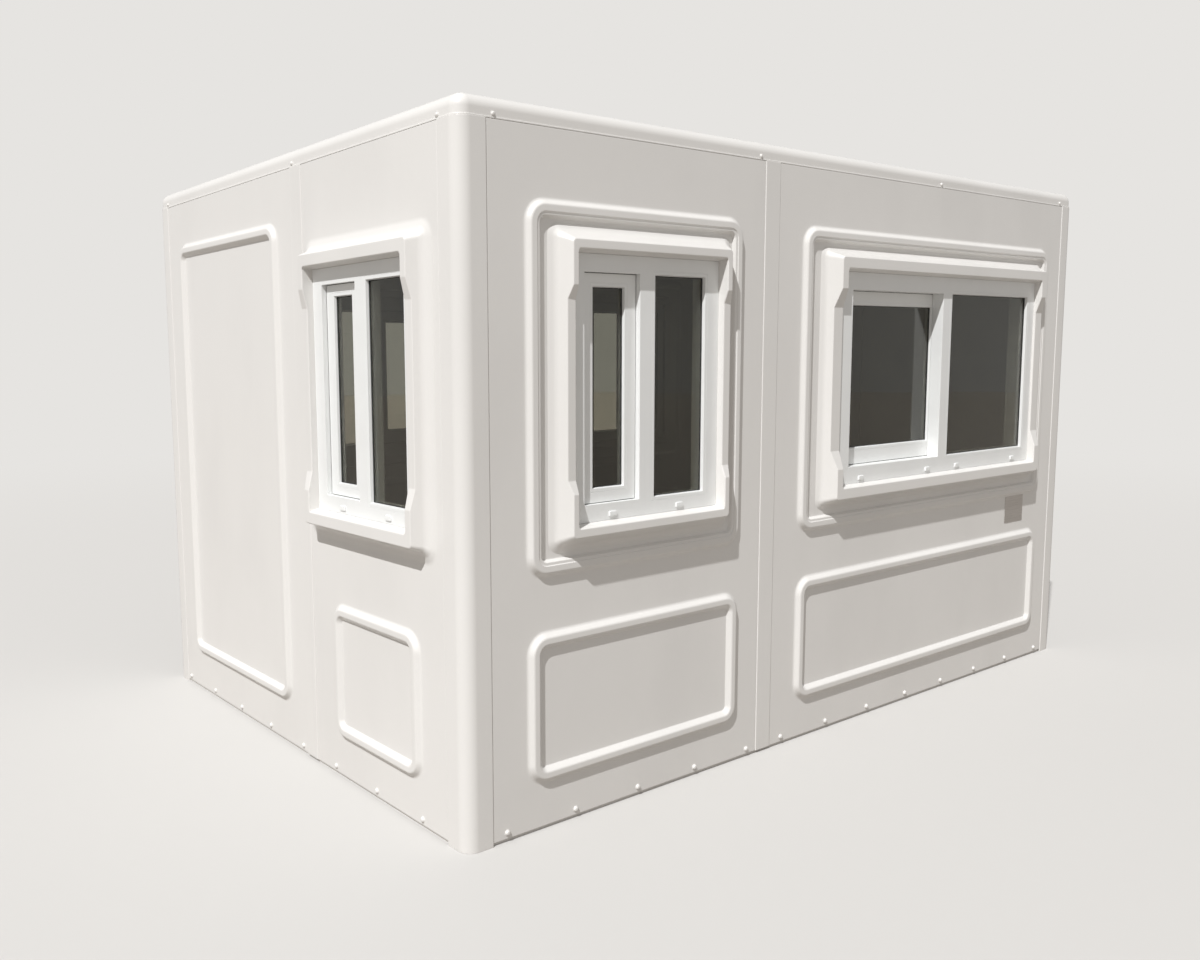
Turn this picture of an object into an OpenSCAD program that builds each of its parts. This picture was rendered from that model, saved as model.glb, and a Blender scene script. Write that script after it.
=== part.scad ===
// Moulded-panel modular office: a glass-fibre cabin put together from corner
// posts, joint posts and wall panels under a one-piece roof.
// X runs along the long walls, the front wall faces -Y, Z is up.
// The origin is the centre of the footprint, on the ground.

/* [Cabin] */
// Length over the corner posts, along X
cabin_length = 3900; // [3000:10:6000]
// Width over the corner posts, along Y
cabin_width = 2500; // [2200:10:3600]
// Height from the ground to the top of the roof
cabin_height = 2400; // [2300:5:3000]
// Height of the roof's band above the seam
roof_height = 72; // [50:1:120]

/* [Posts and panels] */
// Width of a corner post on each wall
post_width = 110; // [80:1:160]
// Outside radius of a corner post
post_radius = 50; // [20:1:60]
// Width of a joint post between two panels
joint_width = 88; // [60:1:140]
// Small radius along the long edges of the posts
post_edge_radius = 4; // [2:0.5:6]
// How far the panels stand back from the face of the posts
panel_setback = 2; // [1.5:0.5:8]
// Thickness of a wall panel
panel_thickness = 50; // [40:1:80]
// Gap left at each joint between neighbouring pieces
joint_gap = 0.2; // [0:0.05:0.3]
// Centre of the front joint post from the left end of the front wall
front_joint_at = 1481; // [1200:1:2000]
// Width of the end walls' window panels
end_window_panel_width = 906; // [800:1:1000]

/* [Base and floor] */
// Height of the rim that shows under the panels
rim_height = 12; // [8:1:40]
// How far the rim stands back from the panels
rim_setback = 8; // [2:1:20]
// Width of the base rails
rail_width = 120; // [80:1:200]
// Number of bearers across the base
bearer_count = 3; // [1:1:6]
// Width of a bearer
bearer_width = 80; // [50:1:120]
// Thickness of the floor deck
floor_thickness = 30; // [18:1:60]

/* [Roof] */
// Radius along the top edge of the roof
roof_edge_radius = 44; // [15:1:46]
// How far the roof band stands back from the face of the posts
roof_setback = 4; // [2:0.5:8]
// How far the lip under the band stands out from it
lip_reach = 2.5; // [1:0.5:4]
// Height of the lip
lip_height = 5; // [3:1:10]

/* [Roll beads] */
// Width of a bead at the panel
bead_width = 58; // [40:1:80]
// How far a bead stands out
bead_height = 17; // [8:1:25]
// Width of the sloped side of a bead
bead_slope = 20; // [10:1:25]
// Outside corner radius of the beads
bead_radius = 76; // [60:1:120]
// How far the beads of the inner skin stand out
inner_bead_height = 7; // [4:1:12]
// From the left edge of a long-wall panel to its beads
bead_left = 148; // [80:1:250]
// From the right edge of a long-wall panel to its beads
bead_right = 131; // [80:1:250]
// From the left edge of the blank panel to its bead
tall_bead_left = 136; // [80:1:250]
// From the right edge of the blank panel to its bead
tall_bead_right = 122; // [80:1:250]
// From the left edge of the end wall's window panel to its bead
small_bead_left = 166; // [80:1:250]
// From the right edge of the end wall's window panel to its bead
small_bead_right = 144; // [80:1:250]
// Bottom of the lower beads above the ground
low_bead_bottom = 165; // [120:1:250]
// Top of the lower beads above the ground
low_bead_top = 688; // [500:1:800]
// Bottom of the tall bead above the ground
tall_bead_bottom = 188; // [120:1:250]
// Top of the tall bead below the seam
tall_bead_drop = 190; // [120:1:400]
// Bottom of the beads around the windows above the ground
window_bead_bottom = 875; // [750:1:950]
// Top of the beads around the windows below the seam
window_bead_drop = 225; // [120:1:300]

/* [Narrow window] */
// From the left edge of the panel to the opening
narrow_left = 327; // [250:1:400]
// From the right edge of the panel to the opening
narrow_right = 283; // [250:1:400]
// Bottom of the opening above the ground
narrow_sill = 1042; // [950:1:1150]
// Top of the opening below the seam
narrow_head_drop = 388; // [330:1:450]
// Width of the surround's front edge at the jambs
narrow_side_lip = 24; // [10:1:60]
// Width of the surround's front edge at the hood and sill
narrow_end_lip = 30; // [10:1:60]
// Slope of the jambs' outer sides, from the front edge to the wall
narrow_side_draft = 42; // [5:1:50]
// Slope of the hood and sill, from the front edge to the wall
narrow_hood_draft = 38; // [5:1:50]
// Length of the jambs' deep ends, next to the hood and the sill
narrow_ear = 107; // [50:1:150]
// Length of the slope from there to the shallow part of the jambs
narrow_ear_slope = 45; // [20:1:100]
// How far the jambs stand out between their ends
narrow_jamb_reach = 46; // [30:1:60]
// How far the face of the frame stands out from the panel
narrow_frame_stand = 21; // [0:1:30]
// Width of the frame along its top and bottom
narrow_frame_rail = 60; // [40:1:100]
// Width of the frame beside the sash
narrow_sash_side = 57; // [40:1:120]
// Width of the frame beside the fixed pane
narrow_fixed_side = 72; // [40:1:120]
// Width of the stiles of the sash
narrow_sash_stile = 54; // [25:1:80]
// Height of the sash's top rail
narrow_sash_top = 45; // [25:1:90]
// Height of the sash's bottom rail
narrow_sash_bottom = 50; // [25:1:90]
// How far the sash reaches behind the frame and the middle post on each side
narrow_sash_lap = 0; // [0:1:20]
// Depth of the frame from front to back
narrow_frame_depth = 66; // [60:1:110]
// How far the sash stands back from the face of the frame
narrow_sash_setback = 20; // [5:1:25]

/* [Wide window] */
// From the left edge of the panel to the opening
wide_left = 371; // [250:1:450]
// From the right edge of the panel to the opening
wide_right = 301; // [250:1:450]
// Bottom of the opening above the ground
wide_sill = 1053; // [950:1:1150]
// Top of the opening below the seam
wide_head_drop = 395; // [330:1:450]
// Width of the surround's front edge at the jambs
wide_side_lip = 40; // [10:1:60]
// Width of the surround's front edge at the hood and sill
wide_end_lip = 45; // [10:1:60]
// Slope of the jambs' outer sides, from the front edge to the wall
wide_side_draft = 48; // [5:1:60]
// Slope of the hood and sill, from the front edge to the wall
wide_hood_draft = 29; // [5:1:50]
// Length of the jambs' deep ends, next to the hood and the sill
wide_ear = 72; // [50:1:150]
// Length of the slope from there to the shallow part of the jambs
wide_ear_slope = 76; // [20:1:100]
// How far the jambs stand out between their ends
wide_jamb_reach = 38; // [30:1:60]
// How far the face of the frame stands out from the panel
wide_frame_stand = 28; // [0:1:30]
// Width of the frame along its top and bottom
wide_frame_rail = 72; // [40:1:100]
// Width of the frame beside the sash
wide_sash_side = 80; // [40:1:120]
// Width of the frame beside the fixed pane
wide_fixed_side = 67; // [40:1:120]
// Width of the stiles of the sash
wide_sash_stile = 30; // [25:1:80]
// Height of the sash's top rail
wide_sash_top = 58; // [25:1:90]
// Height of the sash's bottom rail
wide_sash_bottom = 71; // [25:1:90]
// How far the sash reaches behind the frame and the middle post on each side
wide_sash_lap = 30; // [0:1:34]
// Depth of the frame from front to back
wide_frame_depth = 96; // [60:1:110]
// How far the sash stands back from the face of the frame
wide_sash_setback = 54; // [30:1:60]

/* [End-wall window] */
// From the left edge of the panel to the opening
end_left = 110; // [90:1:200]
// From the right edge of the panel to the opening
end_right = 133; // [90:1:200]
// Bottom of the opening above the ground
end_sill = 1041; // [950:1:1150]
// Top of the opening below the seam
end_head_drop = 397; // [330:1:450]
// Width of the surround's front edge at the jambs
end_side_lip = 33; // [10:1:60]
// Width of the surround's front edge at the hood and sill
end_end_lip = 44; // [10:1:60]
// Slope of the jambs' outer sides, from the front edge to the wall
end_side_draft = 28; // [5:1:50]
// Slope of the hood and sill, from the front edge to the wall
end_hood_draft = 25; // [5:1:50]
// Length of the jambs' deep ends, next to the hood and the sill
end_ear = 72; // [50:1:150]
// Length of the slope from there to the shallow part of the jambs
end_ear_slope = 70; // [20:1:100]
// How far the jambs stand out between their ends
end_jamb_reach = 46; // [30:1:60]
// How far the face of the frame stands out from the panel
end_frame_stand = 21; // [0:1:30]
// Width of the frame along its top and bottom
end_frame_rail = 60; // [40:1:100]
// Width of the frame beside the sash
end_sash_side = 68; // [40:1:120]
// Width of the frame beside the fixed pane
end_fixed_side = 42; // [36:1:120]
// Width of the stiles of the sash
end_sash_stile = 54; // [25:1:80]
// Height of the sash's top rail
end_sash_top = 42; // [25:1:90]
// Height of the sash's bottom rail
end_sash_bottom = 46; // [25:1:90]
// How far the sash reaches behind the frame and the middle post on each side
end_sash_lap = 0; // [0:1:20]
// Depth of the frame from front to back
end_frame_depth = 66; // [60:1:110]
// How far the sash stands back from the face of the frame
end_sash_setback = 20; // [5:1:25]

/* [All windows] */
// How far the hood, the sill and the jambs' deep ends stand out from the panel
hood_reach = 63; // [50:1:100]
// How much the opening narrows between its hood and sill, from its front edge to the frame
sill_splay = 9; // [2:1:20]
// How much it narrows between its jambs
jamb_splay = 3; // [1:1:20]
// Corner radius of the surround's front edge
surround_radius = 12; // [4:1:30]
// Corner radius of the surround where it meets the wall
surround_foot_radius = 25; // [10:1:50]
// Width of the gentle slope at a surround's foot
cove_width = 32; // [5:1:40]
// Height of that slope
cove_height = 12; // [4:1:20]
// Width of the raised band around the window on the inner skin
inner_band = 45; // [20:1:80]
// How far that band stands out from the inner skin
inner_band_reach = 8; // [4:1:20]
// Width of the middle post of a window
mullion_width = 74; // [50:1:120]
// Depth of a sash from front to back
sash_depth = 38; // [30:1:44]
// How far the pane lies behind the face of its sash
sash_glass_inset = 14; // [5:1:25]
// How far the fixed pane lies behind the face of the frame
frame_glass_inset = 16; // [5:1:40]
// Thickness of a sealed glass unit
glass_thickness = 8; // [4:1:12]
// How deep a pane sits in its frame or sash
glass_rebate = 10; // [6:1:16]
// Clearance around frames, sashes and panes
fit_clearance = 0.3; // [0.1:0.05:0.5]

/* [Door] */
// From the edge of its panel to the door leaf, on each side
door_side = 203; // [150:1:300]
// Height of the door leaf
door_height = 2010; // [1900:1:2100]
// Thickness of the door leaf
door_thickness = 44; // [36:1:50]
// Gap around the door leaf
door_gap = 3; // [2:0.5:6]
// Depth of the rebate that stops the leaf
door_stop = 16; // [8:1:30]
// From the edge of the leaf to its bead
door_bead_margin = 90; // [60:1:200]
// How far the leaf's bead stands out
door_bead_height = 10; // [6:1:17]
// Height of the handle above the ground
handle_height = 1050; // [950:1:1150]
// From the edge of the leaf to the middle of the handle's plate
handle_inset = 50; // [30:1:80]
// Length of the handle's plate
handle_plate_length = 180; // [100:1:260]
// Length of the lever
lever_length = 125; // [90:1:160]
// How far the lever stands out from the leaf
lever_reach = 45; // [30:1:60]

/* [Fixings] */
// Diameter of a base bolt's domed cap
bolt_diameter = 22; // [12:1:30]
// How far a bolt's cap stands out
bolt_reach = 8; // [4:1:14]
// Height of the base bolts above the ground
bolt_height = 33; // [25:1:60]
// Spacing of the base bolts
bolt_spacing = 303; // [200:1:500]
// Least distance from a panel's edge to a base bolt
bolt_margin = 30; // [20:1:100]
// Diameter of a roof screw's domed cap
screw_diameter = 16; // [10:1:24]
// How far a roof screw's cap stands out
screw_reach = 6; // [3:1:10]
// Height of the roof screws above the seam
screw_height = 14; // [12:1:40]
// From a joint or post to the roof screw next to it
screw_offset = 28; // [15:1:60]
// Width of a drain cap on a window frame
cap_width = 35; // [16:1:40]
// Height of a drain cap
cap_height = 17; // [6:1:24]
// How far a drain cap stands out
cap_reach = 6; // [2:0.5:8]
// Height of the centre of a drain cap above the opening
cap_rise = 22; // [14:1:34]
// Distance between the two drain caps of a wide light
cap_spacing = 512; // [200:1:600]
// Width of the bare plate under the wide window
plate_width = 175; // [80:1:250]
// Height of that plate
plate_height = 134; // [60:1:160]
// Thickness of that plate
plate_thickness = 1.5; // [0.5:0.5:4]
// From the plate to the right edge of its panel
plate_right = 265; // [100:1:400]
// Bottom of the plate above the ground
plate_bottom = 739; // [700:1:850]

/* [Hidden] */
$fn = 48;
white = "#e9e7e4";
frame_white = "#f1f2f1";
glass_tint = "#8f9a94";
eps = 0.01;
seam_height = cabin_height - roof_height;
wall_face = panel_setback;                      // depth of the panels' outer face
wall_back = panel_setback + panel_thickness;    // depth of their inner face
wall_height = seam_height - rim_height;
end_joint_at = cabin_width - post_width - end_window_panel_width - joint_width / 2;
bead_middle = bead_radius - bead_width / 2;

// [left end, right end] of each panel along its wall
narrow_panel = [post_width, front_joint_at - joint_width / 2];
wide_panel = [front_joint_at + joint_width / 2, cabin_length - post_width];
blank_panel = [post_width, end_joint_at - joint_width / 2];
end_window_panel = [end_joint_at + joint_width / 2, cabin_width - post_width];

function inset(span, left, right) = [span[0] + left, span[1] - right];
function middle(span) = (span[0] + span[1]) / 2;

// [left edge, right edge] of each bead along its wall
narrow_bead = inset(narrow_panel, bead_left, bead_right);
wide_bead = inset(wide_panel, bead_left, bead_right);
tall_bead = inset(blank_panel, tall_bead_left, tall_bead_right);
small_bead = inset(end_window_panel, small_bead_left, small_bead_right);

// Each window: its opening's span and heights, its surround, its frame and its sash
SPAN = 0;
BOTTOM = 1;
TOP = 2;
SIDE_LIP = 3;
END_LIP = 4;
SIDE_DRAFT = 5;
HOOD_DRAFT = 6;
EAR = 7;
EAR_SLOPE = 8;
FRAME_RAIL = 9;
SASH_SIDE = 10;
FIXED_SIDE = 11;
STILE = 12;
TOP_RAIL = 13;
BOTTOM_RAIL = 14;
SASH_SETBACK = 15;
LAP = 16;
DEPTH = 17;
JAMB_REACH = 18;
STAND = 19;
narrow_window = [
  inset(narrow_panel, narrow_left, narrow_right), narrow_sill, seam_height - narrow_head_drop,
  narrow_side_lip, narrow_end_lip, narrow_side_draft, narrow_hood_draft, narrow_ear, narrow_ear_slope,
  narrow_frame_rail, narrow_sash_side, narrow_fixed_side,
  narrow_sash_stile, narrow_sash_top, narrow_sash_bottom,
  narrow_sash_setback, narrow_sash_lap, narrow_frame_depth, narrow_jamb_reach, narrow_frame_stand
];
wide_window = [
  inset(wide_panel, wide_left, wide_right), wide_sill, seam_height - wide_head_drop,
  wide_side_lip, wide_end_lip, wide_side_draft, wide_hood_draft, wide_ear, wide_ear_slope,
  wide_frame_rail, wide_sash_side, wide_fixed_side,
  wide_sash_stile, wide_sash_top, wide_sash_bottom,
  wide_sash_setback, wide_sash_lap, wide_frame_depth, wide_jamb_reach, wide_frame_stand
];
end_window = [
  inset(end_window_panel, end_left, end_right), end_sill, seam_height - end_head_drop,
  end_side_lip, end_end_lip, end_side_draft, end_hood_draft, end_ear, end_ear_slope,
  end_frame_rail, end_sash_side, end_fixed_side,
  end_sash_stile, end_sash_top, end_sash_bottom,
  end_sash_setback, end_sash_lap, end_frame_depth, end_jamb_reach, end_frame_stand
];
door_bottom = rim_height + floor_thickness;
door_span = inset(blank_panel, door_side, door_side);
door_width = door_span[1] - door_span[0];

// ---- placing: each wall is drawn from outside, with x from its left end,
// y inwards from the face of the posts, and z up ----

module on_front() translate([-cabin_length / 2, -cabin_width / 2, 0]) children();
module on_back() rotate([0, 0, 180]) on_front() children();
module on_left() translate([-cabin_length / 2, cabin_width / 2, 0]) rotate([0, 0, -90]) children();
module on_right() rotate([0, 0, 180]) on_left() children();

// ---- roll beads ----

// Height of a bead's section at a share t of its sloped side, as a soft S
function bead_rise(t) = (1 - cos(180 * t)) / 2;
steps = 8;
function bead_section(height) = concat(
  [[-bead_width / 2, -1]],
  [for (i = [0:steps]) [-bead_width / 2 + bead_slope * i / steps, height * bead_rise(i / steps)]],
  [for (i = [steps:-1:0]) [bead_width / 2 - bead_slope * i / steps, height * bead_rise(i / steps)]],
  [[bead_width / 2, -1]]
);

// A straight run of bead from the origin along x, standing out along z
module bead_run(length, height)
  rotate([90, 0, 90]) linear_extrude(length) polygon(bead_section(height));

// A rounded-rectangle bead on the plane z = 0, with its outer corners at from and to
module bead_loop(from, to, height) {
  inset = bead_radius;
  half = bead_width / 2;
  length_x = to[0] - from[0] - 2 * inset;
  length_y = to[1] - from[1] - 2 * inset;
  translate([from[0] + inset, from[1] + half, 0]) bead_run(length_x, height);
  translate([from[0] + inset, to[1] - half, 0]) bead_run(length_x, height);
  translate([from[0] + half, from[1] + inset, 0]) rotate([0, 0, 90]) bead_run(length_y, height);
  translate([to[0] - half, from[1] + inset, 0]) rotate([0, 0, 90]) bead_run(length_y, height);
  for (corner = [[to[0], to[1], 0], [from[0], to[1], 90], [from[0], from[1], 180], [to[0], from[1], 270]])
    translate([
      corner[0] + (corner[0] == to[0] ? -inset : inset),
      corner[1] + (corner[1] == to[1] ? -inset : inset),
      0
    ])
      rotate([0, 0, corner[2]]) rotate_extrude(angle = 90, $fn = 64)
        translate([bead_middle, 0]) polygon(bead_section(height));
}

// Beads on both skins of a panel, between two heights
module wall_bead(span, bottom, top) {
  translate([0, wall_face, 0]) rotate([90, 0, 0])
    bead_loop([span[0], bottom], [span[1], top], bead_height);
  translate([0, wall_back, 0]) mirror([0, 1, 0]) rotate([90, 0, 0])
    bead_loop([span[0], bottom], [span[1], top], inner_bead_height);
}

// ---- panels ----

module panel_board(span)
  translate([span[0] + joint_gap, wall_face, rim_height])
    cube([span[1] - span[0] - 2 * joint_gap, panel_thickness, wall_height - joint_gap]);

// A thin upright plate with rounded corners, standing out by reach from the panel
module upright_plate(span, bottom, top, radius, reach)
  translate([0, wall_face - reach, 0]) rotate([90, 0, 0]) linear_extrude(eps)
    hull() for (x = [span[0] + radius, span[1] - radius], z = [bottom + radius, top - radius])
      translate([x, z]) circle(radius, $fn = 24);

// The box that stands out around a window, with its hood, sill and stepped jambs,
// and a gentle slope all round its foot
module surround(window) {
  side = window[SIDE_LIP] + jamb_splay;
  end = window[END_LIP] + sill_splay;
  front = inset(window[SPAN], -side, -side);
  foot = inset(front, -window[SIDE_DRAFT], -window[SIDE_DRAFT]);
  bottom = window[BOTTOM] - end;
  top = window[TOP] + end;
  low = window[BOTTOM] + window[EAR];
  high = window[TOP] - window[EAR];
  slope = window[EAR_SLOPE];
  foot_bottom = bottom - window[HOOD_DRAFT];
  foot_top = top + window[HOOD_DRAFT];
  // how far in the sloped sides have come at the top of the cove
  cove_inset = cove_height / hood_reach * [window[SIDE_DRAFT], window[HOOD_DRAFT]];
  hull() {
    upright_plate(inset(foot, cove_inset[0], cove_inset[0]), foot_bottom + cove_inset[1],
      foot_top - cove_inset[1], surround_foot_radius, cove_height - eps);
    upright_plate(inset(foot, -cove_width, -cove_width), foot_bottom - cove_width, foot_top + cove_width,
      surround_foot_radius + cove_width, -1);
  }
  difference() {
    hull() {
      upright_plate(front, bottom, top, surround_radius, hood_reach - eps);
      upright_plate(foot, foot_bottom, foot_top, surround_foot_radius, -1);
    }
    // the jambs stand back between their deep ends
    translate([foot[0] - 1, wall_face, 0]) rotate([90, 0, 90]) linear_extrude(foot[1] - foot[0] + 2)
      polygon([
        [-window[JAMB_REACH], low + slope], [-window[JAMB_REACH], high - slope],
        [-hood_reach, high], [-hood_reach - 1, high],
        [-hood_reach - 1, low], [-hood_reach, low]
      ]);
  }
}

// Section of a window's hole: straight through the wall, splayed in front of the frame
function hole_outline(low, high, splay, stand) = [
  [-stand, low], [-hood_reach - 1, low - splay],
  [-hood_reach - 1, high + splay], [-stand, high],
  [panel_thickness + inner_band_reach + 1, high], [panel_thickness + inner_band_reach + 1, low]
];

// The hole for a window
module window_hole(window)
  intersection() {
    translate([window[SPAN][0] - jamb_splay, wall_face, 0])
      rotate([90, 0, 90]) linear_extrude(window[SPAN][1] - window[SPAN][0] + 2 * jamb_splay)
        polygon(hole_outline(window[BOTTOM], window[TOP], sill_splay, window[STAND]));
    translate([0, wall_face, window[BOTTOM] - sill_splay])
      linear_extrude(window[TOP] - window[BOTTOM] + 2 * sill_splay) rotate(90) mirror([0, 1])
        polygon(hole_outline(window[SPAN][0], window[SPAN][1], jamb_splay, window[STAND]));
  }

// The raised band around a window on the inner skin
module inner_surround(window) {
  span = inset(window[SPAN], -inner_band, -inner_band);
  translate([span[0], wall_back - 1, window[BOTTOM] - inner_band])
    cube([span[1] - span[0], inner_band_reach + 1, window[TOP] - window[BOTTOM] + 2 * inner_band]);
}

module long_wall_panel(panel, window, bead)
  color(white) difference() {
    union() {
      panel_board(panel);
      wall_bead(bead, low_bead_bottom, low_bead_top);
      wall_bead(bead, window_bead_bottom, seam_height - window_bead_drop);
      surround(window);
      inner_surround(window);
    }
    window_hole(window);
  }

module narrow_window_panel() long_wall_panel(narrow_panel, narrow_window, narrow_bead);
module wide_window_panel() long_wall_panel(wide_panel, wide_window, wide_bead);

module end_wall_window_panel()
  color(white) difference() {
    union() {
      panel_board(end_window_panel);
      wall_bead(small_bead, low_bead_bottom, low_bead_top);
      surround(end_window);
      inner_surround(end_window);
    }
    window_hole(end_window);
  }

module end_wall_blank_panel()
  color(white) union() {
    panel_board(blank_panel);
    wall_bead(tall_bead, tall_bead_bottom, seam_height - tall_bead_drop);
  }

// The doorway panel has the leaf's rebate in front, a narrower hole behind it and a low threshold
module doorway_panel() {
  rebate = inset(door_span, -door_gap, -door_gap);
  hole = inset(door_span, door_stop, door_stop);
  color(white) difference() {
    panel_board(blank_panel);
    translate([rebate[0], 0, door_bottom])
      cube([rebate[1] - rebate[0], wall_face + door_thickness + fit_clearance, door_height + door_gap]);
    translate([hole[0], 0, door_bottom])
      cube([hole[1] - hole[0], wall_back + 1, door_height - door_stop]);
  }
}

// ---- posts ----

// Plan of a corner post: an angle with a round outer corner and soft long edges
module corner_post_plan() {
  deep = wall_back;
  difference() {
    union() {
      translate([post_radius, post_radius]) circle(post_radius, $fn = 96);
      translate([post_radius, 0]) square([post_width - post_radius - post_edge_radius, deep]);
      translate([post_radius, post_edge_radius]) square([post_width - post_radius, deep - post_edge_radius]);
      translate([post_width - post_edge_radius, post_edge_radius]) circle(post_edge_radius);
      translate([0, post_radius]) square([deep, post_width - post_radius - post_edge_radius]);
      translate([post_edge_radius, post_radius]) square([deep - post_edge_radius, post_width - post_radius]);
      translate([post_edge_radius, post_width - post_edge_radius]) circle(post_edge_radius);
    }
    translate([deep, deep]) square(post_width);
  }
}

module corner_post()
  color(white) linear_extrude(seam_height - joint_gap) corner_post_plan();

module right_hand_corner_post()
  translate([cabin_length, 0, 0]) mirror([1, 0, 0]) corner_post();

module joint_post(at)
  color(white) translate([at - joint_width / 2, 0, rim_height]) linear_extrude(wall_height - joint_gap) {
    translate([0, post_edge_radius]) square([joint_width, wall_back - post_edge_radius]);
    translate([post_edge_radius, 0]) square([joint_width - 2 * post_edge_radius, wall_back]);
    for (x = [post_edge_radius, joint_width - post_edge_radius])
      translate([x, post_edge_radius]) circle(post_edge_radius);
  }

// ---- base, floor and roof ----

module base_frame() {
  edge = wall_face + rim_setback;
  length = cabin_length - 2 * edge;
  width = cabin_width - 2 * edge;
  arm = post_width + joint_gap;
  deep = wall_back + joint_gap;
  color(white) difference() {
    translate([-length / 2, -width / 2, 0]) cube([length, width, rim_height]);
    // open bays between the side rails and the bearers
    bay = (length - 2 * rail_width - bearer_count * bearer_width) / (bearer_count + 1);
    for (i = [0:bearer_count])
      translate([
        -length / 2 + rail_width + i * (bay + bearer_width),
        -width / 2 + rail_width,
        -1
      ])
        cube([bay, width - 2 * rail_width, rim_height + 2]);
    // the corner posts stand on the ground, in notches
    for (turn = [0, 1]) mirror([turn, 0, 0]) for (flip = [0, 1]) mirror([0, flip, 0])
      translate([-cabin_length / 2, -cabin_width / 2, -1]) {
        cube([arm, deep, rim_height + 2]);
        cube([deep, arm, rim_height + 2]);
      }
  }
}

module floor_deck() {
  length = cabin_length - 2 * wall_back - 2 * joint_gap;
  width = cabin_width - 2 * wall_back - 2 * joint_gap;
  color("#8a7a66") translate([-length / 2, -width / 2, rim_height]) cube([length, width, floor_thickness]);
}

// Half of the roof's section: from the middle plane out to the rounded edge
module roof_section(half) {
  band = half - roof_setback;
  radius = min(roof_edge_radius, post_radius - roof_setback, roof_height - lip_height);
  translate([0, lip_height]) square([band, roof_height - lip_height - radius]);
  square([band - radius, roof_height]);
  translate([band - radius, roof_height - radius])
    intersection() {
      circle(radius, $fn = 64);
      square(radius);
    }
  square([band + lip_reach, lip_height]);
}

// The roof's edge sweeps straight along the walls and turns round at the corners
module roof_shell() {
  half_x = cabin_length / 2 - post_radius;
  half_y = cabin_width / 2 - post_radius;
  color(white) translate([0, 0, seam_height]) {
    rotate([90, 0, 0]) linear_extrude(2 * half_y, center = true) {
      roof_section(cabin_length / 2);
      mirror([1, 0]) roof_section(cabin_length / 2);
    }
    rotate([90, 0, 90]) linear_extrude(2 * half_x, center = true) {
      roof_section(cabin_width / 2);
      mirror([1, 0]) roof_section(cabin_width / 2);
    }
    for (x = [-1, 1], y = [-1, 1])
      translate([x * half_x, y * half_y, 0]) rotate_extrude($fn = 96) roof_section(post_radius);
  }
}

// ---- windows: drawn like the walls, with y = 0 at the frame's face ----

module at_frame_face(window) translate([0, wall_face - window[STAND], 0]) children();

// The middle post stands halfway between the frame's sides
function mullion_at(window) = middle(inset(window[SPAN], window[SASH_SIDE], window[FIXED_SIDE]));
// [left, right] of the light with the sash and of the fixed light
function sash_light(window) =
  [window[SPAN][0] + window[SASH_SIDE], mullion_at(window) - mullion_width / 2];
function fixed_light(window) =
  [mullion_at(window) + mullion_width / 2, window[SPAN][1] - window[FIXED_SIDE]];
// [bottom, top] of both lights
function light_heights(window) = inset([window[BOTTOM], window[TOP]], window[FRAME_RAIL], window[FRAME_RAIL]);
// [left, right] of the sash
function sash_span(window) =
  inset(sash_light(window), fit_clearance - window[LAP], fit_clearance - window[LAP]);

// A block between two x and two z limits, from depth y for thickness t
module slab(span, heights, y, t)
  translate([span[0], y, heights[0]]) cube([span[1] - span[0], t, heights[1] - heights[0]]);

// A frame of PVC section: both lights are cut out, with a rebate for the fixed pane
// and a track behind the frame's face for a sash that laps it
module window_frame(window) {
  sash = sash_light(window);
  fixed = fixed_light(window);
  heights = light_heights(window);
  color(frame_white) at_frame_face(window) difference() {
    slab(inset(window[SPAN], fit_clearance, fit_clearance),
      inset([window[BOTTOM], window[TOP]], fit_clearance, fit_clearance), 0, window[DEPTH]);
    slab(sash, heights, -1, window[DEPTH] + 2);
    slab(fixed, heights, -1, window[DEPTH] + 2);
    slab(inset(fixed, -glass_rebate, -glass_rebate), inset(heights, -glass_rebate, -glass_rebate),
      frame_glass_inset, glass_thickness + 2 * fit_clearance);
    if (window[LAP] > 0)
      slab(inset(sash, -window[LAP], -window[LAP]), heights,
        window[SASH_SETBACK] - fit_clearance, window[DEPTH]);
  }
}

module window_sash(window) {
  span = sash_span(window);
  heights = inset(light_heights(window), fit_clearance, fit_clearance);
  inner = inset(span, window[STILE], window[STILE]);
  inner_heights = inset(heights, window[BOTTOM_RAIL], window[TOP_RAIL]);
  color(frame_white) at_frame_face(window) difference() {
    slab(span, heights, window[SASH_SETBACK], sash_depth);
    slab(inner, inner_heights, 0, window[DEPTH] + 1);
    slab(inset(inner, -glass_rebate, -glass_rebate), inset(inner_heights, -glass_rebate, -glass_rebate),
      window[SASH_SETBACK] + sash_glass_inset, glass_thickness + 2 * fit_clearance);
  }
}

// Both panes of a window, each held in its rebate
module window_glass(window) {
  grip = glass_rebate - fit_clearance;
  stile = window[STILE] - grip;
  heights = light_heights(window);
  color(glass_tint, 0.35) at_frame_face(window) {
    slab(inset(fixed_light(window), -grip, -grip), inset(heights, -grip, -grip),
      frame_glass_inset + fit_clearance, glass_thickness);
    slab(inset(sash_span(window), stile, stile),
      inset(heights, window[BOTTOM_RAIL] + fit_clearance - grip, window[TOP_RAIL] + fit_clearance - grip),
      window[SASH_SETBACK] + sash_glass_inset + fit_clearance, glass_thickness);
  }
}

// ---- door ----

module door_leaf()
  color(white) on_right() {
    translate([door_span[0], wall_face, door_bottom + door_gap])
      cube([door_width, door_thickness, door_height - door_gap]);
    translate([0, wall_face, 0]) rotate([90, 0, 0])
      bead_loop(
        [door_span[0] + door_bead_margin, door_bottom + door_bead_margin],
        [door_span[1] - door_bead_margin, door_bottom + door_height - door_bead_margin],
        door_bead_height
      );
  }

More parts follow.
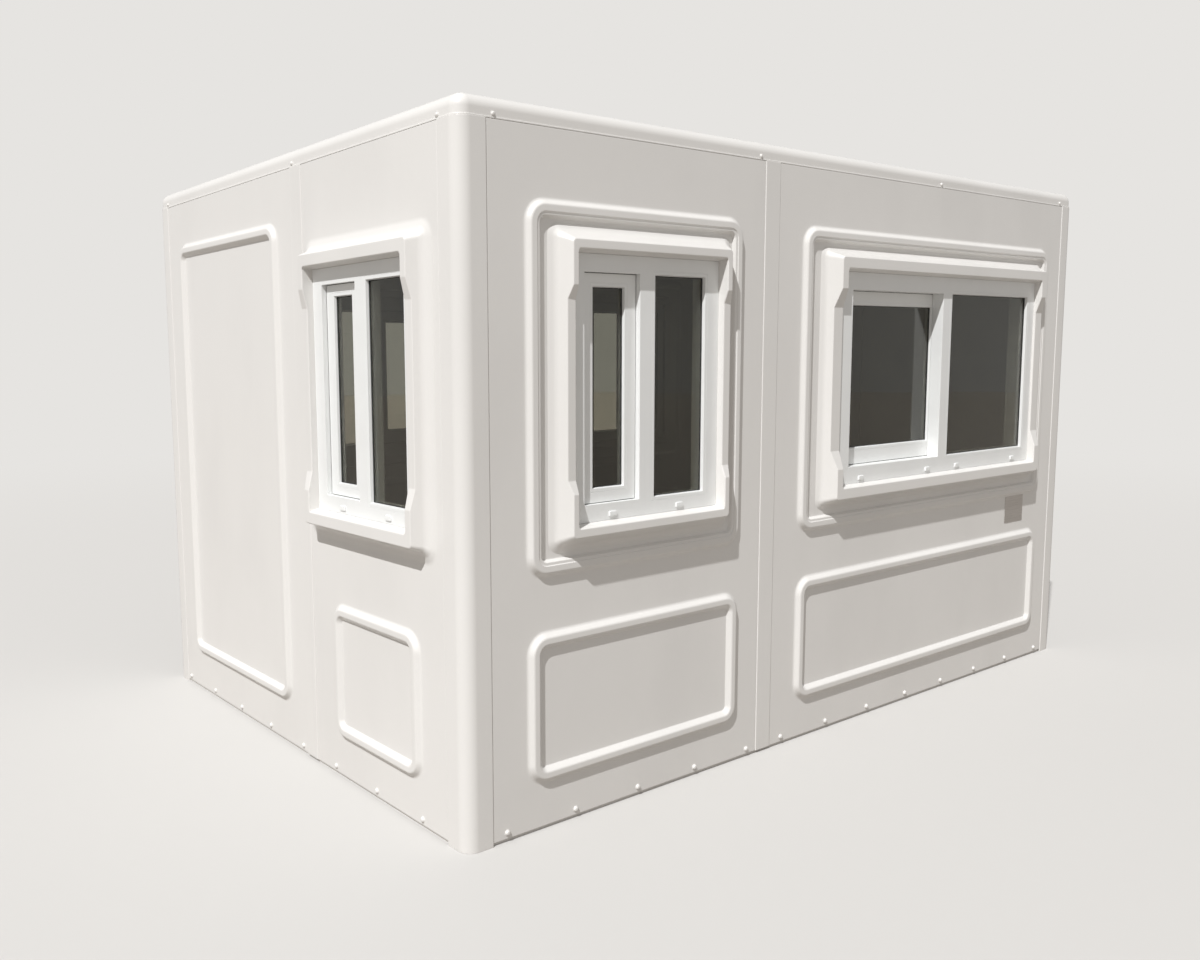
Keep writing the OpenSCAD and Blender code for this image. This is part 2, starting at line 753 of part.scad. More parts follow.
// A lever on a plate, with its spindle above the plate's middle
module door_handle() {
  plate = [36, 7, handle_plate_length];
  spindle_rise = 35;
  lever = [lever_length, 14, 20];
  color("#b9bcbd") on_right() translate([door_span[1] - handle_inset, wall_face, handle_height]) {
    translate([-plate[0] / 2, -plate[1], -plate[2] / 2]) cube(plate);
    translate([0, 0, spindle_rise]) rotate([90, 0, 0]) cylinder(h = lever_reach, d = lever[2]);
    translate([lever[2] / 2 - lever[0], -lever_reach - lever[1] / 2, spindle_rise - lever[2] / 2])
      cube(lever);
  }
}

// ---- fixings ----

// A domed cap standing out towards -y from its foot on the plane y = 0
module domed_cap(diameter, reach) {
  ball = (diameter * diameter / 4 + reach * reach) / (2 * reach);
  rotate([90, 0, 0]) rotate_extrude($fn = 32) intersection() {
    translate([0, reach - ball]) circle(ball, $fn = 96);
    square([diameter, reach]);
  }
}

// As many bolts as fit along a panel, centred on it
module bolt_row(panel) {
  gaps = floor((panel[1] - panel[0] - 2 * bolt_margin) / bolt_spacing);
  for (i = [0:gaps])
    translate([middle(panel) + (i - gaps / 2) * bolt_spacing, wall_face, bolt_height])
      domed_cap(bolt_diameter, bolt_reach);
}

module base_bolts()
  color(white) {
    on_front() bolt_row(narrow_panel);
    on_front() bolt_row(wide_panel);
    on_back() bolt_row(narrow_panel);
    on_back() bolt_row(wide_panel);
    on_left() bolt_row(blank_panel);
    on_left() bolt_row(end_window_panel);
    on_right() bolt_row(end_window_panel);
  }

module screw_row(places)
  for (x = places)
    translate([x, roof_setback, seam_height + screw_height]) domed_cap(screw_diameter, screw_reach);

module roof_screws() {
  long_wall = [
    narrow_panel[0] + screw_offset, narrow_panel[1] - screw_offset,
    middle(wide_panel), wide_panel[1] - screw_offset
  ];
  end_wall = [blank_panel[0], end_joint_at - screw_offset, end_window_panel[1]];
  color(white) {
    on_front() screw_row(long_wall);
    on_back() screw_row(long_wall);
    on_left() screw_row(end_wall);
    on_right() screw_row(end_wall);
  }
}

// Caps over the drain slots in the bottom rail of a frame
module frame_caps(window, offsets)
  for (light = [sash_light(window), fixed_light(window)], offset = offsets)
    translate([
      middle(light) + offset - cap_width / 2,
      wall_face - window[STAND] - cap_reach,
      window[BOTTOM] + cap_rise - cap_height / 2
    ])
      cube([cap_width, cap_reach, cap_height]);

module long_wall_caps() {
  frame_caps(narrow_window, [0]);
  frame_caps(wide_window, [-cap_spacing / 2, cap_spacing / 2]);
}

module drain_caps()
  color(frame_white) {
    on_front() long_wall_caps();
    on_back() long_wall_caps();
    on_left() frame_caps(end_window, [0]);
    on_right() frame_caps(end_window, [0]);
  }

module blank_plate()
  color("#a8a19c") on_front()
    translate([wide_panel[1] - plate_right - plate_width, wall_face - plate_thickness, plate_bottom])
      cube([plate_width, plate_thickness, plate_height]);

base_frame();
floor_deck();
roof_shell();
on_front() corner_post();  // front_left_post
on_front() right_hand_corner_post();  // front_right_post
on_back() corner_post();  // back_right_post
on_back() right_hand_corner_post();  // back_left_post
on_front() joint_post(front_joint_at);  // front_joint_post
on_back() joint_post(front_joint_at);  // back_joint_post
on_left() joint_post(end_joint_at);  // left_joint_post
on_right() joint_post(end_joint_at);  // right_joint_post
on_front() narrow_window_panel();  // front_narrow_panel
on_front() wide_window_panel();  // front_wide_panel
on_left() end_wall_window_panel();  // left_window_panel
on_left() end_wall_blank_panel();  // left_blank_panel
on_back() narrow_window_panel();  // back_narrow_panel
on_back() wide_window_panel();  // back_wide_panel
on_right() end_wall_window_panel();  // right_window_panel
on_right() doorway_panel();  // right_door_panel
on_front() window_frame(narrow_window);  // front_narrow_frame
on_front() window_frame(wide_window);  // front_wide_frame
on_left() window_frame(end_window);  // left_frame
on_back() window_frame(narrow_window);  // back_narrow_frame
on_back() window_frame(wide_window);  // back_wide_frame
on_right() window_frame(end_window);  // right_frame
on_front() window_sash(narrow_window);  // front_narrow_sash
on_front() window_sash(wide_window);  // front_wide_sash
on_left() window_sash(end_window);  // left_sash
on_back() window_sash(narrow_window);  // back_narrow_sash
on_back() window_sash(wide_window);  // back_wide_sash
on_right() window_sash(end_window);  // right_sash
on_front() window_glass(narrow_window);  // front_narrow_glass
on_front() window_glass(wide_window);  // front_wide_glass
on_left() window_glass(end_window);  // left_glass
on_back() window_glass(narrow_window);  // back_narrow_glass
on_back() window_glass(wide_window);  // back_wide_glass
on_right() window_glass(end_window);  // right_glass
door_leaf();
door_handle();
drain_caps();
base_bolts();
roof_screws();
blank_plate();
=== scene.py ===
"""Dresses the modular cabin: moulded panels, posts, roof, windows, door and fixings."""

import math

import bmesh
import bpy
from bpy.props import FloatProperty, FloatVectorProperty, IntProperty, PointerProperty
from mathutils import Matrix, Vector


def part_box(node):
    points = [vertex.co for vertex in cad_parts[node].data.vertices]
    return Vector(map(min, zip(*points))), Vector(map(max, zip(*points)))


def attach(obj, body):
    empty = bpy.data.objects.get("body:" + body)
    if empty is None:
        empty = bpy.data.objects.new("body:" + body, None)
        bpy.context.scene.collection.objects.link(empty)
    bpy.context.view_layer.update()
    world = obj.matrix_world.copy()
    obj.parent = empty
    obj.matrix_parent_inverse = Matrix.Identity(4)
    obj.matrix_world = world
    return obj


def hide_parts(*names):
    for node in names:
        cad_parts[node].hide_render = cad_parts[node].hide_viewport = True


bl_info = {
    "name": "Moulded Cabin",
    "version": (1, 0, 0),
    "blender": (4, 5, 0),
    "location": "3D View > Sidebar > Cabin",
    "description": "Moulded panels, posts, roof, windows, door and fixings of a modular cabin",
    "category": "Object",
}

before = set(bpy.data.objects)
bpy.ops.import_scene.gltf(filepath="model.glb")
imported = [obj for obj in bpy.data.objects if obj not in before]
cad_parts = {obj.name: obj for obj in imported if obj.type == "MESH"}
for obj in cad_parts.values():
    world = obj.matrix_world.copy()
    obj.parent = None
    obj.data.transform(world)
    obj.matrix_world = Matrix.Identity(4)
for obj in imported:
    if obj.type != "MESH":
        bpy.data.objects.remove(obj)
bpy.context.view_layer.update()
MM = 0.001

# ---- placing: each wall is drawn from outside, with x from its left end,
# y inwards from the face of the posts, and z up ----

POST_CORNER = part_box("front_left_post")[0]
QUARTER = math.pi / 2
HALF_TURN = Matrix.Rotation(math.pi, 4, "Z")
# Turns what is drawn flat, as seen from outside, up against a wall
STAND_UP = Matrix.Rotation(QUARTER, 4, "X")
FRONT = Matrix.Translation((POST_CORNER.x, POST_CORNER.y, 0))
LEFT = Matrix.Translation((POST_CORNER.x, -POST_CORNER.y, 0)) @ Matrix.Rotation(-QUARTER, 4, "Z")
WALLS = {"front": FRONT, "back": HALF_TURN @ FRONT, "left": LEFT, "right": HALF_TURN @ LEFT}


def wall_box(node, wall):
    """Lowest and highest corner of a CAD node in its wall's own directions."""
    turned = [WALLS[wall].inverted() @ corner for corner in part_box(node)]
    low = Vector(min(a, b) for a, b in zip(*turned))
    high = Vector(max(a, b) for a, b in zip(*turned))
    return low, high


def wall_rect(node, wall):
    """(left, right, bottom, top) of a CAD node on its wall."""
    low, high = wall_box(node, wall)
    return low.x, high.x, low.z, high.z


def inset(rect, side, end=None):
    """A (left, right, bottom, top) rectangle drawn in at its sides and its ends, by as much or by end."""
    end = side if end is None else end
    left, right, bottom, top = rect
    return left + side, right - side, bottom + end, top - end


# ---- sizes and colours ----


def length(name, description, millimetres):
    """A size, written in millimetres and kept in metres."""
    return FloatProperty(name=name, description=description, default=millimetres * MM, min=0, unit="LENGTH")


def linear(hex_colour):
    """A colour written as sRGB hex, in linear light."""
    parts = [int(hex_colour[i : i + 2], 16) / 255 for i in (1, 3, 5)]
    return tuple(p / 12.92 if p <= 0.04045 else ((p + 0.055) / 1.055) ** 2.4 for p in parts)


def colour(name, description, hex_colour):
    """A colour setting, written as sRGB hex."""
    return FloatVectorProperty(
        name=name, description=description, subtype="COLOR", size=3, min=0, max=1, default=linear(hex_colour)
    )


class CabinSizes(bpy.types.PropertyGroup):
    """Sizes of the moulded panels and posts"""

    panel_setback: length("Panel setback", "How far the panels stand back from the posts' face", 2)
    panel_edge: length("Panel edge", "Radius along the edges of a panel", 2.5)
    panel_thickness: length("Panel thickness", "Thickness of a wall panel", 50)
    post_radius: length("Post radius", "Outside radius of a corner post", 50)
    post_edge: length("Post edge", "Small radius along the long edges of the posts", 4)
    bead_width: length("Bead width", "Width of a roll bead at the panel", 58)
    bead_height: length("Bead height", "How far a bead stands out", 17)
    inner_bead_height: length("Inner bead height", "How far a bead stands out from the inner skin", 7)
    bead_radius: length("Bead radius", "Outside corner radius of the beads", 76)
    bead_left: length("Bead left margin", "From the left edge of a long-wall panel to its beads", 148)
    bead_right: length("Bead right margin", "From the right edge of a long-wall panel to its beads", 131)
    tall_bead_left: length("Tall bead left margin", "From the blank panel's left edge to its bead", 136)
    tall_bead_right: length("Tall bead right margin", "From the blank panel's right edge to its bead", 122)
    small_bead_left: length("Small bead left margin", "From the end panel's left edge to its bead", 166)
    small_bead_right: length("Small bead right margin", "From the end panel's right edge to its bead", 144)
    low_bead_bottom: length("Lower bead bottom", "Height of the lower beads' bottom", 165)
    low_bead_top: length("Lower bead top", "Height of the lower beads' top", 688)
    tall_bead_bottom: length("Tall bead bottom", "Height of the tall bead's bottom", 188)
    tall_bead_drop: length("Tall bead drop", "From the seam down to the tall bead", 190)
    window_bead_bottom: length("Window bead bottom", "Height of the bottom of the beads around windows", 875)
    window_bead_drop: length("Window bead drop", "From the seam down to the beads around windows", 225)
    cove_width: length("Cove width", "Width of the gentle slope at a surround's foot", 32)
    cove_height: length("Cove height", "Height of that slope", 12)
    cove_foot_radius: length("Cove foot radius", "Hollow rounding between the wall and that slope", 95)
    cove_radius: length("Cove radius", "Hollow rounding between that slope and the surround's sides", 42)
    nose_radius: length("Nose radius", "Rounding of the surround's front edges", 5)
    surround_radius: length("Surround corner", "Corner radius of the surround's front edge", 13)
    surround_foot: length("Surround foot", "Corner radius where the surround meets the wall", 28)
    sill_splay: length("Sill splay", "How much the opening narrows between hood and sill", 9)
    jamb_splay: length("Jamb splay", "How much the opening narrows between the jambs", 3)
    inner_band: length("Inner band", "Width of the raised band around a window inside", 45)
    roof_radius: length("Roof edge", "Radius along the top edge of the roof", 44)
    roof_setback: length("Roof setback", "How far the roof band stands back from the posts' face", 4)
    lip_reach: length("Lip reach", "How far the lip under the roof band stands out", 2.5)
    lip_height: length("Lip height", "Height of that lip", 5)


WINDOW_FIELDS = {
    "side_lip": ("Jamb lip", "Width of the surround's front edge at the jambs"),
    "end_lip": ("Hood lip", "Width of the surround's front edge at hood and sill"),
    "side_draft": ("Jamb slope", "Slope of the jambs' outer sides"),
    "hood_draft": ("Hood slope", "Slope of the hood and sill"),
    "ear": ("Ear", "Length of the jambs' deep ends"),
    "ear_slope": ("Ear slope", "Length of the slope from a deep end to the shallow part"),
    "jamb_reach": ("Jamb reach", "How far the jambs stand out between their deep ends"),
    "sash_top": ("Sash top", "Height of the sash's top rail"),
    "sash_bottom": ("Sash bottom", "Height of the sash's bottom rail"),
    "sash_lap": ("Sash lap", "How far the sash reaches behind the frame"),
}


def window_sizes(class_name, docstring, **millimetres):
    """A property group with the sizes of one kind of window."""
    fields = {key: length(*WINDOW_FIELDS[key], millimetres[key]) for key in WINDOW_FIELDS}
    return type(class_name, (bpy.types.PropertyGroup,), {"__annotations__": fields, "__doc__": docstring})


NarrowWindow = window_sizes(
    "NarrowWindow", "The narrow window of a long wall",
    side_lip=24, end_lip=30, side_draft=42, hood_draft=38, ear=107, ear_slope=45, jamb_reach=46,
    sash_top=45, sash_bottom=50, sash_lap=0,
)
WideWindow = window_sizes(
    "WideWindow", "The wide window of a long wall",
    side_lip=40, end_lip=45, side_draft=48, hood_draft=29, ear=72, ear_slope=76, jamb_reach=38,
    sash_top=58, sash_bottom=71, sash_lap=30,
)
EndWindow = window_sizes(
    "EndWindow", "The window of an end wall",
    side_lip=33, end_lip=44, side_draft=28, hood_draft=25, ear=72, ear_slope=70, jamb_reach=46,
    sash_top=42, sash_bottom=46, sash_lap=0,
)


class FrameSizes(bpy.types.PropertyGroup):
    """Sizes of the extruded window sections"""

    mullion: length("Middle post", "Width of the middle post", 74)
    edge: length("Edge", "Rounding of the extruded edges", 1.6)
    fixed_glass: length("Fixed glass", "Depth of the fixed pane behind the frame's face", 16)
    sash_glass: length("Sash glass", "Depth of the pane behind the sash's face", 14)
    pane: length("Pane", "Thickness of a sealed glass unit", 8)
    rebate: length("Rebate", "How deep a pane sits in its frame", 10)
    clearance: length("Clearance", "Clearance around panes and sashes", 0.3)
    seam: length("Seam", "Extra gap around a sash, closed by a brush seal", 1.2)
    lean: length("Glazing bead lean", "How far a glazing bead leans in towards the glass", 2.8)
    bead_width: length("Glazing bead", "Width of the clip-in bead that holds a pane", 13)
    gasket: length("Gasket", "How far the rubber gasket shows past the glazing bead", 2.4)


class DoorSizes(bpy.types.PropertyGroup):
    """Sizes of the door, its doorway and its handle"""

    thickness: length("Leaf", "Thickness of the door leaf", 44)
    gap: length("Gap", "Gap around the door leaf", 3)
    stop: length("Stop", "Depth of the rebate that stops the leaf", 16)
    bead_margin: length("Bead margin", "From the edge of the leaf to its bead", 90)
    bead_height: length("Bead height", "How far the leaf's bead stands out", 10)
    plate_width: length("Handle plate", "Width of the handle's plate", 36)
    plate_thickness: length("Handle plate thickness", "Thickness of the handle's plate", 7)
    spindle_rise: length("Spindle rise", "Height of the lever above the plate's middle", 35)
    lever_thickness: length("Lever thickness", "Thickness of the lever, away from the door", 14)
    lever_height: length("Lever height", "Height of the lever's section", 20)
    lever_bend: length("Lever bend", "Radius of the bend between neck and lever", 19)


class FixingSizes(bpy.types.PropertyGroup):
    """Sizes and spacing of caps and screws"""

    bolt_diameter: length("Bolt cap", "Diameter of a base bolt's cap", 22)
    bolt_reach: length("Bolt reach", "How far a bolt's cap stands out", 8)
    bolt_spacing: length("Bolt spacing", "Spacing of the base bolts", 303)
    bolt_margin: length("Bolt margin", "Least distance from a panel's edge to a bolt", 30)
    screw_diameter: length("Screw cap", "Diameter of a roof screw's cap", 16)
    screw_reach: length("Screw reach", "How far a roof screw's cap stands out", 6)
    screw_height: length("Screw height", "Height of the roof screws above the seam", 14)
    screw_offset: length("Screw offset", "From a joint or post to the roof screw next to it", 28)
    cap_width: length("Drain cap width", "Width of a drain cap", 35)
    cap_height: length("Drain cap height", "Height of a drain cap", 17)
    cap_reach: length("Drain cap reach", "How far a drain cap stands out", 6)
    cap_rise: length("Drain cap rise", "Height of the drain caps above the opening's bottom", 22)
    cap_spacing: length("Drain cap spacing", "Distance between the two drain caps of a wide light", 512)
    spin_seed: IntProperty(
        name="Spin seed", description="Seed for how each round cap is turned", default=7, min=0
    )


class Finishes(bpy.types.PropertyGroup):
    """Colours of the cabin's materials"""

    gelcoat: colour("Gelcoat", "White polyester gelcoat", "#E4E2DF")
    pvc: colour("PVC", "White extruded PVC", "#EAEBEA")
    rubber: colour("Rubber", "Black rubber of gaskets and seals", "#2A2A2A")
    glass: colour("Glass", "Tint of the sealed glass units", "#CCCCC2")
    board: colour("Floor board", "Dark floor board", "#6B5A4A")
    steel: colour("Steel", "Brushed stainless steel", "#B9BCBD")
    plate: colour("Plate", "Bare aluminium plate", "#D2CECA")
    floor: colour("Studio floor", "Pale studio floor", "#E6E4E1")


GROUPS = {
    "sizes": CabinSizes,
    "narrow": NarrowWindow,
    "wide": WideWindow,
    "end": EndWindow,
    "frames": FrameSizes,
    "door": DoorSizes,
    "fixings": FixingSizes,
    "finishes": Finishes,
}


class CabinSettings(bpy.types.PropertyGroup):
    """All sizes and colours of the cabin"""

    __annotations__ = {key: PointerProperty(type=group) for key, group in GROUPS.items()}


def settings():
    """The cabin's sizes and colours, as the scene has them."""
    return bpy.context.scene.cabin


# ---- materials ----


def add_node(tree, kind, values=None, links=None, **attributes):
    """Adds a node, sets its attributes and input values, and links its inputs."""
    node = tree.nodes.new(kind)
    for key, value in attributes.items():
        setattr(node, key, value)
    for key, value in (values or {}).items():
        node.inputs[key].default_value = value
    for key, socket in (links or {}).items():
        tree.links.new(socket, node.inputs[key])
    return node


class Look:
    """A material with one Principled shader, and patterns on the object's own coordinates."""

    def __init__(self, name, **shader):
        self.material = bpy.data.materials.new(name)
        self.material.use_nodes = True
        self.tree = self.material.node_tree
        self.inputs = self.tree.nodes["Principled BSDF"].inputs
        for key, value in shader.items():
            self.inputs[key.replace("_", " ")].default_value = value

    def noise(self, millimetres, detail=2.0, stretch=(1, 1, 1)):
        """Noise whose grains are about so many millimetres across."""
        place = add_node(self.tree, "ShaderNodeTexCoord").outputs["Object"]
        mapping = add_node(self.tree, "ShaderNodeMapping", {"Scale": stretch}, {"Vector": place})
        noise = add_node(
            self.tree, "ShaderNodeTexNoise", {"Scale": 1 / (millimetres * MM), "Detail": detail},
            {"Vector": mapping.outputs["Vector"]},
        )
        return noise.outputs["Fac"]

    def tint(self, base, factor, darker, low=0.35, high=0.75):
        """Base colour that takes that share of itself where the factor is high."""
        spread = add_node(
            self.tree, "ShaderNodeMapRange", {"From Min": low, "From Max": high}, {"Value": factor},
            interpolation_type="SMOOTHSTEP",
        )
        mix = add_node(
            self.tree, "ShaderNodeMix", {"A": (*base, 1), "B": (*[c * darker for c in base], 1)},
            {"Factor": spread.outputs["Result"]}, data_type="RGBA",
        )
        self.tree.links.new(mix.outputs["Result"], self.inputs["Base Color"])

    def bump(self, height, millimetres, strength=1.0, below=None):
        """Surface relief of so many millimetres from a height pattern, on top of the relief below."""
        links = {"Height": height, "Normal": below} if below else {"Height": height}
        values = {"Strength": strength, "Distance": millimetres * MM}
        node = add_node(self.tree, "ShaderNodeBump", values, links)
        self.tree.links.new(node.outputs["Normal"], self.inputs["Normal"])
        return node.outputs["Normal"]

    def dull(self, factor, least, most):
        """Roughness that goes from the least to the most with the factor."""
        values = {"To Min": least, "To Max": most}
        spread = add_node(self.tree, "ShaderNodeMapRange", values, {"Value": factor})
        self.tree.links.new(spread.outputs["Result"], self.inputs["Roughness"])


def gelcoat_material():
    """Polyester gelcoat sprayed in a mould: satin white, with a faint orange peel and a slow wave."""
    look = Look("gelcoat_white", IOR=1.52, Coat_Weight=0.15, Coat_Roughness=0.12)
    wave = look.bump(look.noise(160, detail=1.5), 1.2, strength=0.5)
    look.bump(look.noise(9), 0.12, strength=0.35, below=wave)
    bloom = look.noise(420, detail=4, stretch=(1, 1, 0.45))
    look.tint(settings().finishes.gelcoat, bloom, darker=0.965, low=0.42, high=0.72)
    look.dull(look.noise(60, detail=4), least=0.27, most=0.4)
    return look.material


def pvc_material():
    """Extruded PVC: smooth and slightly glossy, with a faint waviness and haze."""
    look = Look("extruded_pvc_white", Roughness=0.28, IOR=1.53)
    look.bump(look.noise(14), 0.05, strength=0.3)
    look.tint(settings().finishes.pvc, look.noise(120, detail=3), darker=0.975)
    return look.material


def cap_material():
    """Moulded nylon: white, a little duller than the extruded sections."""
    look = Look("moulded_nylon_white", Roughness=0.42, IOR=1.53)
    haze = look.noise(40, detail=3)
    look.tint(settings().finishes.gelcoat, haze, darker=0.95)
    look.bump(haze, 0.05, strength=0.3)
    return look.material


def rubber_material():
    """Extruded EPDM rubber: matt black, with pale dust on it."""
    look = Look("epdm_rubber_black", Roughness=0.62, IOR=1.5)
    dust = look.noise(25, detail=4)
    look.tint(settings().finishes.rubber, dust, darker=1.6)
    look.bump(dust, 0.1, strength=0.4)
    return look.material


def glass_material():
    """Float glass in sealed units: slightly green, a little dusty, with a slow wave in its gloss."""
    look = Look("float_glass_green", Roughness=0.0, IOR=1.5, Transmission_Weight=1.0)
    look.tint(settings().finishes.glass, look.noise(180, detail=4), darker=0.96)
    look.bump(look.noise(240, detail=0), 0.15)
    return look.material


def board_material():
    """Dark film-faced floor board: streaks of its wood grain under a dull film."""
    look = Look("film_faced_board", Roughness=0.55, IOR=1.5)
    grain = look.noise(30, detail=5, stretch=(0.15, 1, 1))
    look.tint(settings().finishes.board, grain, darker=0.7, high=0.7)
    look.bump(grain, 0.4, strength=0.5)
    return look.material


def steel_material():
    """Brushed stainless steel: upright brush lines, drawn coarser than they are so that they show."""
    look = Look("brushed_stainless", Metallic=1.0, Roughness=0.3)
    brush = look.noise(1.5, detail=3, stretch=(1, 1, 0.06))
    look.bump(brush, 0.03, strength=0.5)
    look.tint(settings().finishes.steel, brush, darker=0.9)
    return look.material


def plate_material():
    """Bare rolled aluminium: dull, with level rolling lines."""
    look = Look("rolled_aluminium", Metallic=1.0, Roughness=0.42)
    roll = look.noise(3, detail=3, stretch=(0.05, 1, 1))
    look.bump(roll, 0.04, strength=0.4)
    look.tint(settings().finishes.plate, roll, darker=0.9)
    return look.material


MAKERS = {
    "gelcoat": gelcoat_material,
    "pvc": pvc_material,
    "cap": cap_material,
    "rubber": rubber_material,
    "glass": glass_material,
    "board": board_material,
    "steel": steel_material,
    "plate": plate_material,
}
made = {}


def material(name):
    """The named material, made when it is first asked for."""
    if name not in made:
        made[name] = MAKERS[name]()
    return made[name]


# ---- sections and rings ----

# Two runs that turn by less than this angle count as straight
STRAIGHT = 1e-3
# The least cosine between a corner's bisector and its sides' normals that shrinking allows for
SHARPEST_CORNER = 0.5
# Vertices closer than this are one; edges shorter than half of it are dissolved
MERGE_DISTANCE = 0.02 * MM
# Rounding of edges that hardly show
BACK_EDGE = 2 * MM


def soften(path, steps=5, share=0.49):
    """Rounds the corners of an open path of (across, out, radius) points with arcs of so many steps.

    An arc takes at most that share of the straight run on each of its sides."""
    points = [Vector(p[:2]) for p in path]
    result = [points[0]]
    for before, here, after, corner in zip(points, points[1:], points[2:], path[1:]):
        radius = corner[2] if len(corner) > 2 else 0
        if not radius:
            result.append(here)
            continue
        a, b = before - here, after - here
        angle = a.angle(b, math.pi)
        if math.pi - angle < STRAIGHT:
            result += [here.copy() for _ in range(steps + 1)]
            continue
        reach = min(radius / math.tan(angle / 2), share * a.length, share * b.length)
        start, end = here + a.normalized() * reach, here + b.normalized() * reach
        middle_of_arc = here + (a.normalized() + b.normalized()).normalized() * (reach / math.cos(angle / 2))
        spread = (start - middle_of_arc).angle(end - middle_of_arc)
        for step in range(steps + 1):
            t = step / steps
            result.append(
                middle_of_arc
                + (start - middle_of_arc) * (math.sin((1 - t) * spread) / math.sin(spread))
                + (end - middle_of_arc) * (math.sin(t * spread) / math.sin(spread))
            )
    result.append(points[-1])
    return result


def quarter_turns(steps):
    """Evenly spaced angles from none to a quarter turn."""
    return [QUARTER * step / steps for step in range(steps + 1)]


def full_circle(steps=28):
    """Evenly spaced angles once round."""
    return [4 * QUARTER * step / steps for step in range(steps)]


def ring(rect, radius, depth, heights=(), side_points=None, corner_steps=8):
    """A rounded rectangle of points on a wall, anticlockwise from its bottom left corner.

    depth is how far the ring lies inside the face of the posts. side_points gives, for each
    of the heights, (how far that point lies outside the ring's side, its own depth)."""
    points = []
    left, right, bottom, top = inset(rect, radius)
    extras = side_points or [(0, depth)] * len(heights)
    for index, (x, z) in enumerate([(left, bottom), (right, bottom), (right, top), (left, top)]):
        for turn in quarter_turns(corner_steps):
            angle = turn + QUARTER * (index - 2)
            points.append(Vector((x + radius * math.cos(angle), depth, z + radius * math.sin(angle))))
        if index == 1:
            points += [Vector((rect[1] + out, y, z)) for z, (out, y) in zip(heights, extras)]
        if index == 3:
            points += [Vector((rect[0] - out, y, z)) for z, (out, y) in list(zip(heights, extras))[::-1]]
    return points


def soften_loop(corners, steps=5):
    """Rounds the corners of a closed outline of (across, out, radius) points."""
    return soften([corners[-1], *corners, corners[0]], steps)[1:-1]


def soft_box(low_x, high_x, low_y, high_y, radius, far_radius=None, steps=5):
    """A closed box outline with rounded corners; the two far ones may have their own radius."""
    far_radius = far_radius or radius
    return soften_loop([
        (low_x, low_y, radius), (high_x, low_y, radius),
        (high_x, high_y, far_radius), (low_x, high_y, far_radius),
    ], steps)


def rim_section(face, back, edge, flat):
    """Over a sheet's rounded edge from its face to its back: (inset, depth) points."""
    run = edge + flat
    return soften([(run, face), (0, face, edge), (0, back, edge), (run, back)], steps=4)


def rectangle(rect, side, end, depth):
    """The four mitred corners of a frame's outline, drawn in from a rectangle."""
    left, right, bottom, top = inset(rect, side, end)
    corners = ((left, bottom), (right, bottom), (right, top), (left, top))
    return [Vector((x, depth, z)) for x, z in corners]


def rectangles(rect, path, depth=0.0, lap=0.0):
    """Rectangles along a section of (inset, depth) points; the sides lie outside by the lap."""
    return [rectangle(rect, inwards - lap, inwards, depth + out) for inwards, out in path]


def shrink(outline, distance):
    """An anticlockwise outline moved inwards."""
    moved = []
    for before, here, after in zip(outline[-1:] + outline[:-1], outline, outline[1:] + outline[:1]):
        a, b = (here - before).normalized(), (after - here).normalized()
        inward = Vector((-a.y - b.y, a.x + b.x)).normalized()
        slant = max(inward.dot(Vector((-a.y, a.x))), SHARPEST_CORNER)
        moved.append(here + inward * distance / slant)
    return moved


def loft(bm, rings, close=False):
    """Joins each ring to the next with faces, and the last to the first where it closes."""
    rows = [[bm.verts.new(p) for p in points] for points in rings]
    turns = rows + rows[:1] if close else rows
    for row, following in zip(turns, turns[1:]):
        for i, j in zip(range(len(row)), [*range(1, len(row)), 0]):
            bm.faces.new((row[i], row[j], following[j], following[i]))
    return rows


def fill_between(bm, rows):
    """Fills the flat area between one outline and the holes in it, all given as rows of vertices."""
    edges = []
    for row in rows:
        for a, b in zip(row, row[1:] + row[:1]):
            edges.append(bm.edges.get((a, b)) or bm.edges.new((a, b)))
    bmesh.ops.triangle_fill(bm, use_beauty=True, use_dissolve=False, edges=edges)


def capped_loft(rings, bm=None):
    """A solid from rings, closed with a flat face at both ends, in the given mesh or a new one."""
    bm = bm or bmesh.new()
    rows = loft(bm, rings)
    fill_between(bm, [rows[0]])
    fill_between(bm, [rows[-1]])
    return bm


def stack(outline, levels):
    """A solid of an anticlockwise plan outline, drawn in by (inset, height) levels."""
    return capped_loft([
        [p.to_3d() + Vector((0, 0, height)) for p in shrink(outline, inwards)] for inwards, height in levels
    ])


def prism(outline, low, high, edge):
    """A solid of an anticlockwise plan outline between two heights, with rounded ends."""
    bend = [(edge * (1 - math.sin(turn)), edge * (1 - math.cos(turn))) for turn in quarter_turns(4)]
    foot = [(inwards, low + rise) for inwards, rise in bend]
    return stack(outline, foot + [(inwards, high - rise) for inwards, rise in bend[::-1]])


def link_object(name, data):
    """A new object of the scene, at the origin."""
    result = bpy.data.objects.new(name, data)
    bpy.context.scene.collection.objects.link(result)
    return result


def smooth_object(bm, name, sharp_degrees):
    """An object from a closed mesh: faces outwards, smooth but for its sharp edges."""
    bmesh.ops.recalc_face_normals(bm, faces=bm.faces)
    mesh = bpy.data.meshes.new(name)
    bm.to_mesh(mesh)
    bm.free()
    mesh.polygons.foreach_set("use_smooth", [True] * len(mesh.polygons))
    mesh.set_sharp_from_angle(angle=math.radians(sharp_degrees))
    return link_object(name, mesh)


